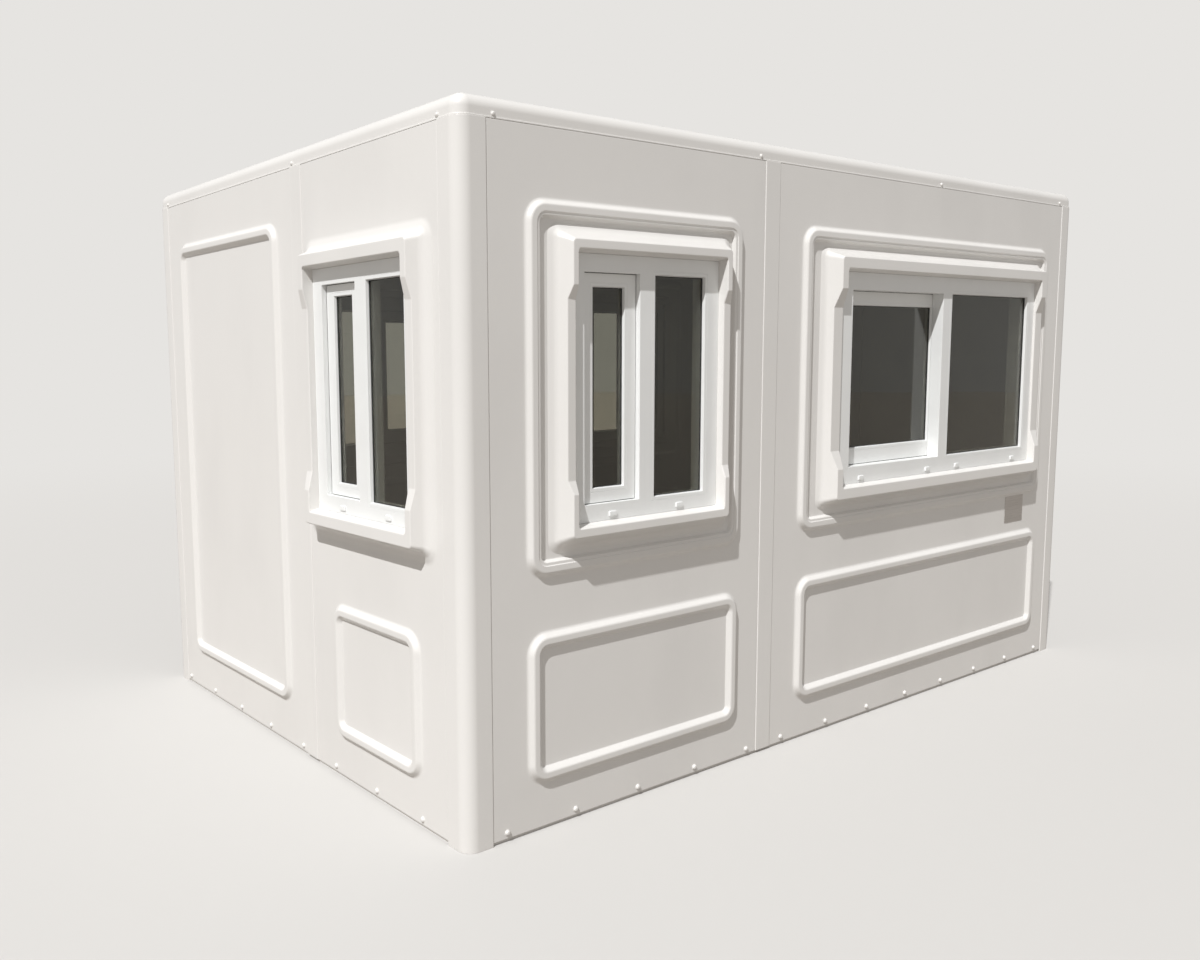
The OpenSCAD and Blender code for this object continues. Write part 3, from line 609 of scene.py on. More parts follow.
def finish_piece(bm, name, place, slot, *nodes, finish="gelcoat", sharp_degrees=34.0):
    """Places the mesh, closes its seams and makes it a piece that stands for its CAD nodes."""
    bmesh.ops.transform(bm, matrix=place, verts=bm.verts)
    bmesh.ops.remove_doubles(bm, verts=bm.verts, dist=MERGE_DISTANCE)
    bmesh.ops.dissolve_degenerate(bm, dist=MERGE_DISTANCE / 2, edges=bm.edges)
    piece = smooth_object(bm, name, sharp_degrees)
    piece.data.materials.append(material(finish))
    # broad faces set the normals beside them, so that flats stay flat next to small roundings
    weighted = piece.modifiers.new("weighted_normals", "WEIGHTED_NORMAL")
    weighted.keep_sharp = True
    apply_modifiers(piece)
    ride(piece, slot, *nodes)


def apply_modifiers(piece):
    """Turns what the modifiers make into the piece's plain mesh."""
    graph = bpy.context.evaluated_depsgraph_get()
    finished = bpy.data.meshes.new_from_object(
        piece.evaluated_get(graph), preserve_all_data_layers=True, depsgraph=graph
    )
    finished.name = piece.name
    piece.modifiers.clear()
    piece.data = finished


def ride(piece, slot, *nodes):
    """Declares a piece of the cabin, its material slot and the CAD nodes that it stands for."""
    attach(piece, "root")
    if nodes:
        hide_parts(*nodes)


def refinish(name, node):
    """Gives a CAD node whose shape is right a better material."""
    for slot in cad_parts[node].material_slots:
        slot.material = material(name)


# ---- wall panels ----

# The run of flat wall up to a bead's foot, and the hollow rounding there
BEAD_RUN = 14 * MM
BEAD_FOOT = 24 * MM
# A bead's other corners as (share of its width, depth below its top, rounding), then the
# rounding at its inner foot and the run of flat field there: a plain roll, and one with a ledge
ROLL_BEAD = (((0.3, 0, 12 * MM), (0.7, 0, 11 * MM)), 7 * MM, 4 * MM)
LEDGED_BEAD = (
    ((0.27, 0, 11 * MM), (0.66, 0, 3 * MM), (0.71, 2.6 * MM, 2 * MM), (0.88, 3 * MM, 4 * MM)),
    6 * MM, 5 * MM,
)
LEAST_BEAD_CORNER = 14 * MM
# How far a board's rounded edge runs on over its faces
EDGE_FLAT = 3 * MM


class Board:
    """One flat moulded board, such as a wall panel, with what stands out from it."""

    def __init__(self, node, wall, face=None, back=None, edge=None):
        sizes = self.sizes = settings().sizes
        self.node, self.wall, self.rect = node, wall, wall_rect(node, wall)
        self.face = sizes.panel_setback if face is None else face
        self.back = sizes.panel_setback + sizes.panel_thickness if back is None else back
        self.edge = sizes.panel_edge if edge is None else edge
        self.heights = ()
        self.bm = bmesh.new()
        self.outer_holes, self.inner_holes = [], []

    def bead_section(self, height, ledge):
        """Across a bead from its outer foot to its inner foot: (inset, height) points."""
        width = self.sizes.bead_width
        corners, end, field = LEDGED_BEAD if ledge else ROLL_BEAD
        return soften([
            (-BEAD_RUN, 0), (0, 0, BEAD_FOOT),
            *((share * width, height - drop, radius) for share, drop, radius in corners),
            (width, 0, end), (width + field, 0),
        ])

    def bead_rings(self, rect, height, ledge=False, inside=False):
        """Rings across a bead; on the inner skin they stand inwards."""
        rings = []
        for inwards, out in self.bead_section(height, ledge):
            radius = max(self.sizes.bead_radius - inwards, LEAST_BEAD_CORNER)
            depth = self.back + out if inside else self.face - out
            rings.append(ring(inset(rect, inwards), radius, depth, self.heights))
        return rings

    def add_bead(self, rect, height, inner_height):
        """A closed bead with a flat field inside it, on each skin where it has a height."""
        for holes, out, inside in ((self.outer_holes, height, False), (self.inner_holes, inner_height, True)):
            if out:
                rows = loft(self.bm, self.bead_rings(rect, out, inside=inside))
                holes.append(rows[0])
                fill_between(self.bm, [rows[-1]])

    def add_hole(self, rings):
        """What leads through the board, from its face to its back."""
        rows = loft(self.bm, rings)
        self.outer_holes.append(rows[0])
        self.inner_holes.append(rows[-1])

    def close(self):
        """Adds the board's rounded rim and fills both faces around what stands on them."""
        rows = loft(self.bm, rectangles(self.rect, rim_section(self.face, self.back, self.edge, EDGE_FLAT)))
        fill_between(self.bm, [rows[0]] + self.outer_holes)
        fill_between(self.bm, [rows[-1]] + self.inner_holes)
        finish_piece(self.bm, self.node + "_moulding", WALLS[self.wall], "gelcoat", self.node)


# Rounding at a jamb's deep ends, and at the foot of their slopes
EAR_RADIUS = 9 * MM
EAR_FOOT_RADIUS = 1.6 * EAR_RADIUS
# How far from the surround's corners the jambs' own heights start
JAMB_START = 3 * MM
# The most of the front edge's width that the rounding of its two sides takes
NOSE_SHARE = 0.45
# The surround's inner face: its rounding at the frame's face, how deep it runs on behind that,
# and where the wall's own face takes over
FRAME_EDGE = 1 * MM
FRAME_LAP = 8 * MM
REVEAL_START = 10 * MM
# The least of the flat wall that a cove's foot rounds over
LEAST_FLAT = 1 * MM
# Corner radius of the opening, and the share of a section's points after which the rings have it
OPENING_RADIUS = 3 * MM
OPENING_SHARE = 0.7
# The band round a window inside: rounding at the opening and on the band, its slope and what it
# keeps of the flat skin, and how its corners grow outwards
BAND_EDGE = 3 * MM
BAND_RADIUS = 4 * MM
BAND_SLOPE = 2 * MM
BAND_FIELD = 8 * MM
BAND_CORNER_SHARE = 0.3
# How far a surround's foot stays inside the bead around it, or the edge of its panel
FOOT_TO_BEAD = 7 * MM
FOOT_TO_EDGE = 4 * MM


class Opening:
    """A window's opening and the section of the surround that stands around it."""

    def __init__(self, panel, frame_node, window, within):
        """within is a (left, right, bottom, top) rectangle that the surround's foot stays inside."""
        self.panel, self.sizes, self.window = panel, panel.sizes, window
        self.rect = inset(wall_rect(frame_node, panel.wall), -settings().frames.clearance)
        self.stand = panel.face - wall_box(frame_node, panel.wall)[0].y
        panel_low, panel_high = wall_box(panel.node, panel.wall)
        self.hood_reach = panel.face - panel_low.y
        self.inner_reach = panel_high.y - panel.back
        side = self.sizes.jamb_splay + window.side_lip + window.side_draft
        end = self.sizes.sill_splay + window.end_lip + window.hood_draft
        foot = inset(self.rect, -side, -end)
        room = min(foot[0] - within[0], within[1] - foot[1], foot[2] - within[2], within[3] - foot[3])
        self.cove_width = min(self.sizes.cove_width, room)
        # how much of the flat wall the cove's foot may round over
        self.flat = min(max(room - self.cove_width, LEAST_FLAT), self.cove_width)
        bottom, top = self.rect[2:]
        ear, high_ear, slope = bottom + window.ear, top - window.ear, window.ear_slope
        self.jamb_path = soften([
            (bottom + JAMB_START, self.hood_reach), (ear, self.hood_reach, EAR_RADIUS),
            (ear + slope, window.jamb_reach, EAR_FOOT_RADIUS),
            (high_ear - slope, window.jamb_reach, EAR_FOOT_RADIUS),
            (high_ear, self.hood_reach, EAR_RADIUS), (top - JAMB_START, self.hood_reach),
        ])
        panel.heights = tuple(height for height, _ in self.jamb_path)

    def section(self, splay, lip, draft, reach):
        """From the wall up the cove and the outer side, over the front and in: (outwards, out) points."""
        sizes = self.sizes
        rise = sizes.cove_height
        foot = splay + lip + draft + self.cove_width
        above_cove = splay + lip + draft * (1 - rise / self.hood_reach)
        outer = splay + lip + draft * (1 - reach / self.hood_reach)
        inner = splay * (reach - self.stand) / (self.hood_reach - self.stand)
        nose = min(sizes.nose_radius, NOSE_SHARE * lip)
        points = soften([
            (foot + 2 * self.flat, 0), (foot, 0, sizes.cove_foot_radius),
            (above_cove, rise, sizes.cove_radius), (outer, reach, nose), (inner, reach, nose),
            (0, self.stand, FRAME_EDGE), (0, self.stand - FRAME_LAP),
        ], steps=6)
        points[0].x = foot + self.flat
        return points

    def surround_rings(self):
        """Rings from the surround's foot to the frame."""
        sizes, window, panel = self.sizes, self.window, self.panel
        ends = self.section(sizes.sill_splay, window.end_lip, window.hood_draft, self.hood_reach)
        jamb = (sizes.jamb_splay, window.side_lip, window.side_draft)
        sides = [self.section(*jamb, reach) for _, reach in self.jamb_path]
        corner = self.section(*jamb, self.hood_reach)
        rings = []
        for i, (end, side) in enumerate(zip(ends, corner)):
            share = min(max(end.y / self.hood_reach, 0), 1)
            radius = sizes.surround_foot + (sizes.surround_radius - sizes.surround_foot) * share
            radius += self.cove_width * max(1 - end.y / sizes.cove_height, 0)
            # past the front edge the rings follow the nearly square opening
            if i > OPENING_SHARE * len(ends):
                radius = OPENING_RADIUS
            jambs = [(profile[i].x - side.x, panel.face - profile[i].y) for profile in sides]
            rect = inset(self.rect, -side.x, -end.x)
            rings.append(ring(rect, radius, panel.face - end.y, panel.heights, jambs))
        return rings

    def reveal_rings(self):
        """Rings from the frame's face through the wall and out over the band on the inner skin."""
        panel, band = self.panel, self.sizes.inner_band
        proud = panel.back + self.inner_reach
        path = soften([
            (0, panel.face - self.stand + REVEAL_START), (0, proud, BAND_EDGE), (band, proud, BAND_RADIUS),
            (band + BAND_SLOPE, panel.back, BAND_RADIUS), (band + BAND_FIELD, panel.back),
        ], steps=4)
        rings = []
        for out, depth in path:
            radius = OPENING_RADIUS + max(out, 0) * BAND_CORNER_SHARE
            rings.append(ring(inset(self.rect, -out), radius, depth, panel.heights))
        return rings


def bead_rect(board, left, right, bottom, top):
    """A bead's (left, right, bottom, top) from its margins on the board and its heights."""
    return board.rect[0] + left, board.rect[1] - right, bottom, top


def seam_height():
    """Height of the seam between the walls and the roof."""
    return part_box("roof_shell")[0].z


def build_window_panel(node, wall, frame_node, window, framed_by_bead):
    """A panel with a window, its surround and a lower bead."""
    board = Board(node, wall)
    sizes = board.sizes
    if framed_by_bead:
        margins = (sizes.bead_left, sizes.bead_right)
    else:
        margins = (sizes.small_bead_left, sizes.small_bead_right)
    low_rect = bead_rect(board, *margins, sizes.low_bead_bottom, sizes.low_bead_top)
    board.add_bead(low_rect, sizes.bead_height, sizes.inner_bead_height)
    if framed_by_bead:
        rect = bead_rect(board, *margins, sizes.window_bead_bottom, seam_height() - sizes.window_bead_drop)
        opening = Opening(board, frame_node, window, inset(rect, sizes.bead_width + FOOT_TO_BEAD))
        outer = board.bead_rings(rect, sizes.bead_height, ledge=True)
        inner = board.bead_rings(rect, sizes.inner_bead_height, inside=True)[::-1]
    else:
        opening = Opening(board, frame_node, window, inset(board.rect, sizes.panel_edge + FOOT_TO_EDGE))
        outer, inner = [], []
    board.add_hole(outer + opening.surround_rings() + opening.reveal_rings() + inner)
    board.close()


def build_blank_panel(node, wall):
    """The panel with one tall bead and no opening."""
    board = Board(node, wall)
    sizes = board.sizes
    top = seam_height() - sizes.tall_bead_drop
    rect = bead_rect(board, sizes.tall_bead_left, sizes.tall_bead_right, sizes.tall_bead_bottom, top)
    board.add_bead(rect, sizes.bead_height, sizes.inner_bead_height)
    board.close()


# How much higher the doorway's hole starts than the rebate for the leaf
THRESHOLD_RISE = 0.5 * MM


def doorway_rects(board):
    """The rebate for the leaf and the narrower hole behind it, as (left, right, bottom, top)."""
    door, leaf = settings().door, wall_rect("door_leaf", board.wall)
    rebate = inset(leaf, -door.gap)
    left, right, _, top = inset(leaf, door.stop)
    return rebate, (left, right, rebate[2] + THRESHOLD_RISE, top)


def build_doorway_panel(node, wall):
    """The panel with the doorway: a rebate in front, a narrower hole behind it and a low threshold."""
    board = Board(node, wall)
    door = settings().door
    rebate, hole = doorway_rects(board)
    stop = board.face + door.thickness + settings().frames.clearance
    mouth = soften([(-2 * BACK_EDGE, board.face), (0, board.face, BACK_EDGE), (0, stop)])
    inner_mouth = soften([(0, stop), (0, board.back, BACK_EDGE), (-2 * BACK_EDGE, board.back)])
    board.add_hole(rectangles(rebate, mouth) + rectangles(hole, inner_mouth))
    board.close()


class CABIN_OT_panels(bpy.types.Operator):
    """Moulds the wall panels with their beads and window surrounds"""

    bl_idname = "cabin.panels"
    bl_label = "Wall panels"

    def execute(self, context):
        cabin = settings()
        for wall in ("front", "back"):
            for kind, window in (("narrow", cabin.narrow), ("wide", cabin.wide)):
                build_window_panel(f"{wall}_{kind}_panel", wall, f"{wall}_{kind}_frame", window, True)
        for wall in ("left", "right"):
            build_window_panel(f"{wall}_window_panel", wall, f"{wall}_frame", cabin.end, False)
        build_blank_panel("left_blank_panel", "left")
        build_doorway_panel("right_door_panel", "right")
        return {"FINISHED"}


# ---- posts, base, floor and roof ----

# Rounding at the ends of the posts
POST_END = 1 * MM
JOINT_END = 0.6 * MM
# The roof's flats in from its edge, the radii at its lip's foot and top, its least corner radius,
# and the most of a straight run that one of its roundings takes
ROOF_FLAT = 110 * MM
LIP_FOOT = 0.8 * MM
LIP_EDGE = 1.2 * MM
LEAST_ROOF_CORNER = 8 * MM
ROOF_ARC_SHARE = 0.9


def build_corner_post(node):
    """An angle-shaped post with a round outer corner, standing on the ground."""
    sizes = settings().sizes
    low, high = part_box(node)
    width = high.x - low.x
    deep = sizes.panel_setback + sizes.panel_thickness
    outline = soften_loop([
        (0, 0, sizes.post_radius), (width, 0, sizes.post_edge), (width, deep, BACK_EDGE),
        (deep, deep, BACK_EDGE), (deep, width, BACK_EDGE), (0, width, sizes.post_edge),
    ], steps=10)
    bm = prism(outline, low.z, high.z, POST_END)
    # drawn inwards from the corner, then turned over to the side that the post stands on
    side_x, side_y = math.copysign(1, low.x + high.x), math.copysign(1, low.y + high.y)
    corner = Vector((high.x if side_x > 0 else low.x, high.y if side_y > 0 else low.y, 0))
    place = Matrix.Translation(corner) @ Matrix.Diagonal((-side_x, -side_y, 1, 1))
    finish_piece(bm, node + "_moulding", place, "gelcoat", node)


def build_joint_post(node, wall):
    """A flat post over the joint between two panels."""
    low, high = wall_box(node, wall)
    outline = soft_box(low.x, high.x, low.y, high.y, settings().sizes.post_edge, BACK_EDGE, steps=6)
    bm = prism(outline, low.z, high.z, JOINT_END)
    finish_piece(bm, node + "_moulding", WALLS[wall], "gelcoat", node)


class CABIN_OT_posts(bpy.types.Operator):
    """Moulds the corner posts and the posts over the panels' joints"""

    bl_idname = "cabin.posts"
    bl_label = "Posts"

    def execute(self, context):
        for depth in ("front", "back"):
            for side in ("left", "right"):
                build_corner_post(f"{depth}_{side}_post")
        for wall in WALLS:
            build_joint_post(f"{wall}_joint_post", wall)
        return {"FINISHED"}


class CABIN_OT_roof(bpy.types.Operator):
    """Moulds the one-piece roof with its band, lip and rounded edge"""

    bl_idname = "cabin.roof"
    bl_label = "Roof"

    def execute(self, context):
        sizes = settings().sizes
        low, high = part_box("roof_shell")
        edge = sizes.roof_setback - sizes.lip_reach
        lip_top = low.z + sizes.lip_height
        path = soften([
            (ROOF_FLAT, low.z), (edge, low.z, LIP_FOOT), (edge, lip_top, LIP_EDGE),
            (sizes.roof_setback, lip_top, LIP_FOOT), (sizes.roof_setback, high.z, sizes.roof_radius),
            (ROOF_FLAT, high.z),
        ], steps=12, share=ROOF_ARC_SHARE)
        rings = []
        for inwards, height in path:
            rect = inset((low.x, high.x, low.y, high.y), inwards - edge)
            radius = max(sizes.post_radius - inwards, LEAST_ROOF_CORNER)
            rings.append([Vector((p.x, p.z, height)) for p in ring(rect, radius, 0, corner_steps=16)])
        finish_piece(capped_loft(rings), "roof_moulding", Matrix.Identity(4), "gelcoat", "roof_shell")
        return {"FINISHED"}


class CABIN_OT_base(bpy.types.Operator):
    """Finishes the base frame and the floor"""

    bl_idname = "cabin.base"
    bl_label = "Base and floor"

    def execute(self, context):
        refinish("gelcoat", "base_frame")
        refinish("board", "floor_deck")
        return {"FINISHED"}


# ---- windows ----

# The groove between a light's edge and its glazing bead, and the bead's small rounded corners
GROOVE_WIDTH = 0.7 * MM
GROOVE_DEPTH = 1.2 * MM
GROOVE_EDGE = 0.5 * MM
BEAD_SET = 0.4 * MM
# The glazing bead stops short of the pane, with the gasket in the gap behind its inner side
BEAD_SHORT = 3.6 * MM
BEAD_UNDERCUT = 3.5 * MM
BEAD_INNER = 0.6 * MM
# Behind the pane: how far the section stands in, its rounding at the back and its run there
BACK_LIP = 1 * MM
BACK_SLOPE = (3 * MM, 1.5 * MM)
BACK_RUN = 5 * MM
# The gasket's wedge: where it starts on the bead, how it leans over the pane and its roundings
GASKET_START = (0.7 * MM, 3.4 * MM, 0.2 * MM)
GASKET_CREST = (0.3 * MM, 3.2 * MM, 0.8 * MM)
GASKET_TOE = (0.6 * MM, 0.4 * MM)
GASKET_SINK = (0.2 * MM, 0.1 * MM)
# Flats beside the rounded edges of frame, sash light and sash
FRAME_FLAT = 2 * MM
LIGHT_FLAT = 3 * MM
SASH_BACK_FLAT = 4 * MM
SASH_FRONT_FLAT = 5 * MM
# The frame steps back this far before the sash's face, and over this depth; rounding of the step
STEP_BEFORE = 1 * MM
STEP_RISE = 0.5 * MM
STEP_EDGE = (0.4 * MM, 0.1 * MM, 0.8 * MM)
# The brush seal round a sash: its first and last depth, how it clears both sides, its rounding
BRUSH_DEPTH = (5 * MM, 12 * MM)
BRUSH_CLEARANCE = (0.1 * MM, 0.2 * MM)
BRUSH_EDGE = 0.3 * MM
# Edges of extruded sections that turn by more than this stay sharp
SECTION_SHARP_DEGREES = 28


class Glazing:
    """Where a window's lights, sash and panes are, in its wall's own directions."""

    def __init__(self, stem, wall, window):
        self.sizes = settings().frames
        self.stem, self.wall, self.lap = stem, wall, window.sash_lap
        gap, grip = self.sizes.clearance, self.sizes.rebate - self.sizes.clearance
        frame_node, sash_node = stem + "_frame", stem + "_sash"
        self.frame_rect, self.sash_rect = wall_rect(frame_node, wall), wall_rect(sash_node, wall)
        self.face, self.back = (corner.y for corner in wall_box(frame_node, wall))
        self.sash_face, self.sash_back = (corner.y for corner in wall_box(sash_node, wall))
        # the light with the sash, the fixed light beside it and the sash's own light
        self.sash_light = inset(self.sash_rect, self.lap - gap, -gap)
        glass_left, glass_right, *_ = wall_rect(stem + "_glass", wall)
        self.fixed_light = (
            self.sash_light[1] + self.sizes.mullion, glass_right - grip, *self.sash_light[2:]
        )
        left, right, bottom, top = self.sash_rect
        stile = glass_left + grip - left
        self.pane_light = (left + stile, right - stile, bottom + window.sash_bottom, top - window.sash_top)

    def glazed_section(self, glass, back):
        """From a light's front edge over its glazing bead and rebate to the back: (inset, depth) points."""
        sizes, start = self.sizes, -self.sizes.bead_width
        behind = glass + sizes.pane + 2 * sizes.clearance
        slope_depth, slope_radius = BACK_SLOPE
        return soften([
            (start, 0), (start + GROOVE_WIDTH, 0), (start + 2 * GROOVE_WIDTH, GROOVE_DEPTH),
            (start + 3 * GROOVE_WIDTH, 0, GROOVE_EDGE), (0, BEAD_SET, sizes.edge),
            (sizes.lean, glass - BEAD_SHORT, GROOVE_EDGE), (BEAD_INNER, glass - BEAD_UNDERCUT),
            (BEAD_INNER, glass), (-sizes.rebate, glass), (-sizes.rebate, behind),
            (BACK_LIP, behind), (BACK_LIP, back - slope_depth, slope_radius),
            (-slope_radius, back, BACK_LIP), (-BACK_RUN, back),
        ], steps=4)

    def gasket_section(self, glass):
        """A closed wedge of rubber between the glazing bead and the pane."""
        lean, reach = self.sizes.lean, self.sizes.lean + self.sizes.gasket
        start, start_rise, start_radius = GASKET_START
        over, crest_rise, crest_radius = GASKET_CREST
        toe_rise, toe_radius = GASKET_TOE
        sink, sunk_radius = GASKET_SINK
        return soften_loop([
            (start, glass - start_rise, start_radius), (lean + over, glass - crest_rise, crest_radius),
            (reach, glass - toe_rise, toe_radius), (reach, glass + sink, sunk_radius),
            (start, glass + sink, sunk_radius),
        ], steps=3)

    def sash_light_section(self, depth, lap):
        """From the frame's face into the light that holds the sash: (inset, depth) points."""
        sizes = self.sizes
        step = self.sash_face - self.face - STEP_BEFORE
        outside = -sizes.seam - lap
        front_edge, step_edge, back_edge = STEP_EDGE
        return soften([
            (-LIGHT_FLAT, 0), (0, 0, sizes.edge), (0, step, front_edge),
            (outside, step + STEP_RISE, step_edge), (outside, depth, back_edge),
            (outside - LIGHT_FLAT, depth),
        ], steps=4)

    def build_frame(self):
        """The outer frame with both lights cut out, mitred at its corners."""
        sizes, bm = self.sizes, bmesh.new()
        depth = self.back - self.face
        rim = rim_section(0, depth, sizes.edge, FRAME_FLAT)
        outer = loft(bm, rectangles(self.frame_rect, rim, self.face))
        section = self.glazed_section(sizes.fixed_glass, depth)
        fixed = loft(bm, rectangles(self.fixed_light, section, self.face))
        sides, ends = (self.sash_light_section(depth, lap) for lap in (self.lap, 0))
        sash = loft(bm, [
            rectangle(self.sash_light, side.x, end.x, self.face + side.y) for side, end in zip(sides, ends)
        ])
        fill_between(bm, [outer[0], fixed[0], sash[0]])
        fill_between(bm, [outer[-1], fixed[-1], sash[-1]])
        self.finish(bm, "frame", "pvc", self.stem + "_frame")

    def build_sash(self):
        """The sash, with a glazing bead clipped in round its pane."""
        sizes, bm = self.sizes, bmesh.new()
        depth, seam = self.sash_back - self.sash_face, sizes.seam
        outer = soften([
            (seam + SASH_BACK_FLAT, depth), (seam, depth, sizes.edge),
            (seam, 0, BACK_EDGE), (seam + SASH_FRONT_FLAT, 0),
        ], steps=4)
        rings = [
            rectangle(self.sash_rect, inwards - (seam if self.lap else 0), inwards, self.sash_face + out)
            for inwards, out in outer
        ]
        rings += rectangles(self.pane_light, self.glazed_section(sizes.sash_glass, depth), self.sash_face)
        loft(bm, rings, close=True)
        self.finish(bm, "sash", "pvc", self.stem + "_sash")

    def build_seals(self):
        """Black gaskets on the panes and the brush seal round the sash."""
        sizes, bm = self.sizes, bmesh.new()
        for rect, face, glass in (
            (self.fixed_light, self.face, sizes.fixed_glass),
            (self.pane_light, self.sash_face, sizes.sash_glass),
        ):
            loft(bm, rectangles(rect, self.gasket_section(glass), face), close=True)
        near, far = BRUSH_CLEARANCE
        brush = soft_box(near - sizes.seam, far + sizes.seam, *BRUSH_DEPTH, BRUSH_EDGE, steps=2)
        loft(bm, rectangles(self.sash_light, brush, self.sash_face, self.lap), close=True)
        self.finish(bm, "seals", "rubber")

    def finish(self, bm, kind, finish, *nodes):
        """Makes one kind of piece from its mesh, for this window."""
        finish_piece(
            bm, f"{self.stem}_{kind}_section", WALLS[self.wall], "white_pvc", *nodes,
            finish=finish, sharp_degrees=SECTION_SHARP_DEGREES,
        )


def all_windows():
    """(stem, wall, sizes) of every window."""
    cabin = settings()
    for wall in ("front", "back"):
        yield f"{wall}_narrow", wall, cabin.narrow
        yield f"{wall}_wide", wall, cabin.wide
    for wall in ("left", "right"):
        yield wall, wall, cabin.end


class CABIN_OT_windows(bpy.types.Operator):
    """Extrudes the window frames and sashes, fits their seals and finishes the glass"""

    bl_idname = "cabin.windows"
    bl_label = "Windows"

    def execute(self, context):
        for stem, wall, window in all_windows():
            glazing = Glazing(stem, wall, window)
            glazing.build_frame()
            glazing.build_sash()
            glazing.build_seals()
            refinish("glass", stem + "_glass")
        return {"FINISHED"}


# ---- door ----

LEAF_EDGE = 3 * MM
# The seal round the leaf: its first and last depth, its clearance on both sides, its rounding
SEAL_DEPTH = (9 * MM, 20 * MM)
SEAL_CLEARANCE = 0.2 * MM
SEAL_EDGE = 0.4 * MM
PLATE_CORNER = 8 * MM
PLATE_EDGE = 1.8 * MM
# The lever's section: how square it is, how high the round neck is beside the lever's own height,
# how fast it flattens along its path, how far it starts inside the plate, how blunt its tip is
SQUARENESS = 2.6
NECK_SHARE = 0.9
FLATTENING = 1.6
NECK_SINK = 1 * MM
TIP_BLUNTNESS = 0.6
TIP_STEPS = 6


def build_door_leaf():
    """The door leaf with its bead, and the black seal in the gap round it."""
    door, sizes = settings().door, settings().sizes
    face = sizes.panel_setback
    board = Board("door_leaf", "right", face, face + door.thickness, LEAF_EDGE)
    left, right, bottom, top = inset(board.rect, door.bead_margin)
    board.add_bead((left, right, bottom - door.gap, top), door.bead_height, 0)
    board.close()
    bm = bmesh.new()
    rebate, _ = doorway_rects(board)
    seal = soft_box(SEAL_CLEARANCE, door.gap - SEAL_CLEARANCE, *SEAL_DEPTH, SEAL_EDGE, steps=2)
    loft(bm, rectangles(rebate, seal, face), close=True)
    finish_piece(bm, "door_seal", WALLS["right"], "gelcoat", finish="rubber")


def oval(middle, across, half_across, half_height):
    """A squarish oval about a point, across one direction and up."""
    points = []
    for angle in full_circle():
        c, s = math.cos(angle), math.sin(angle)
        reach = (abs(c) ** SQUARENESS + abs(s) ** SQUARENESS) ** (-1 / SQUARENESS)
        points.append(middle + across * (half_across * c * reach) + Vector((0, 0, half_height * s * reach)))
    return points


def build_handle():
    """A lever on a plate: the neck comes out of the plate and bends into the lever."""
    door = settings().door
    low, high = wall_box("door_handle", "right")
    face = settings().sizes.panel_setback
    middle_z = (low.z + high.z) / 2
    spindle_x, spindle_z = high.x - door.plate_width / 2, middle_z + door.spindle_rise

    # the plate, drawn flat and stood up against the leaf
    half, tall = door.plate_width / 2, (high.z - low.z) / 2
    outline = soft_box(-half, half, -tall, tall, PLATE_CORNER, steps=8)
    bm = prism(outline, 0, door.plate_thickness, PLATE_EDGE)
    upright = Matrix.Translation((spindle_x, face, middle_z)) @ STAND_UP
    bmesh.ops.transform(bm, matrix=upright, verts=bm.verts)

    # the lever, along a softened path with a squarish section
    thick, height = door.lever_thickness / 2, door.lever_height / 2
    outermost, tip = low.y + thick, low.x + thick
    path = soften([
        (spindle_x, face - door.plate_thickness + NECK_SINK),
        (spindle_x, outermost, door.lever_bend), (tip, outermost),
    ], steps=14)
    rings = []
    for index, here in enumerate(path):
        before, after = path[max(index - 1, 0)], path[min(index + 1, len(path) - 1)]
        along = (after - before).normalized()
        across = Vector((-along.y, along.x, 0))
        share = min(index / (len(path) - 1) * FLATTENING, 1)
        neck = NECK_SHARE * (1 - share)
        middle = Vector((here.x, here.y, spindle_z))
        rings.append(oval(middle, across, height * neck + thick * share, height * (neck + share)))
    for step in range(1, TIP_STEPS):
        turn = QUARTER * step / TIP_STEPS
        middle = Vector((tip - thick * math.sin(turn), outermost, spindle_z))
        half_height = height * math.cos(turn) ** TIP_BLUNTNESS
        rings.append(oval(middle, Vector((0, -1, 0)), thick * math.cos(turn), half_height))
    capped_loft(rings, bm)
    finish_piece(bm, "lever_handle", WALLS["right"], "handle_steel", "door_handle", finish="steel")


class CABIN_OT_door(bpy.types.Operator):
    """Makes the door leaf, its seal and its lever handle"""

    bl_idname = "cabin.door"
    bl_label = "Door"

    def execute(self, context):
        build_door_leaf()
        build_handle()
        return {"FINISHED"}


# ---- fixings ----

# A round cap's thickest flange and the rounding of its edge and of the dome's foot
FLANGE = 1.6 * MM
FLANGE_EDGE = 0.5 * MM
DOME_FOOT = (0.86, 0.4 * MM)
# The dome's corners: (share of the radius, share of the height, rounding as a share of the height)
DOME = ((0.8, 0.62, 0.22), (0.5, 0.93, 0.3), (0.04, 1, 0))
DRAIN_CORNERS = (2 * MM, 4 * MM)
DRAIN_EDGE = 1.8 * MM
# The bare plate's corner radius and edge
BARE_CORNER = 4 * MM
BARE_EDGE = 0.35 * MM
CAP_SHARP_DEGREES = 40


def domed_cap(diameter, reach):
    """A round moulded cap: a thin flange with a dome on it, standing along z."""
    radius = diameter / 2
    flange = min(FLANGE, reach / 3)
    foot, foot_radius = DOME_FOOT
    section = soften([
        (radius, 0), (radius, flange, FLANGE_EDGE), (foot * radius, flange, foot_radius),
        *((across * radius, up * reach, rounding * reach) for across, up, rounding in DOME),
    ], steps=3)
    return capped_loft([
        [Vector((r * math.cos(a), r * math.sin(a), z)) for a in full_circle()] for r, z in section
    ])


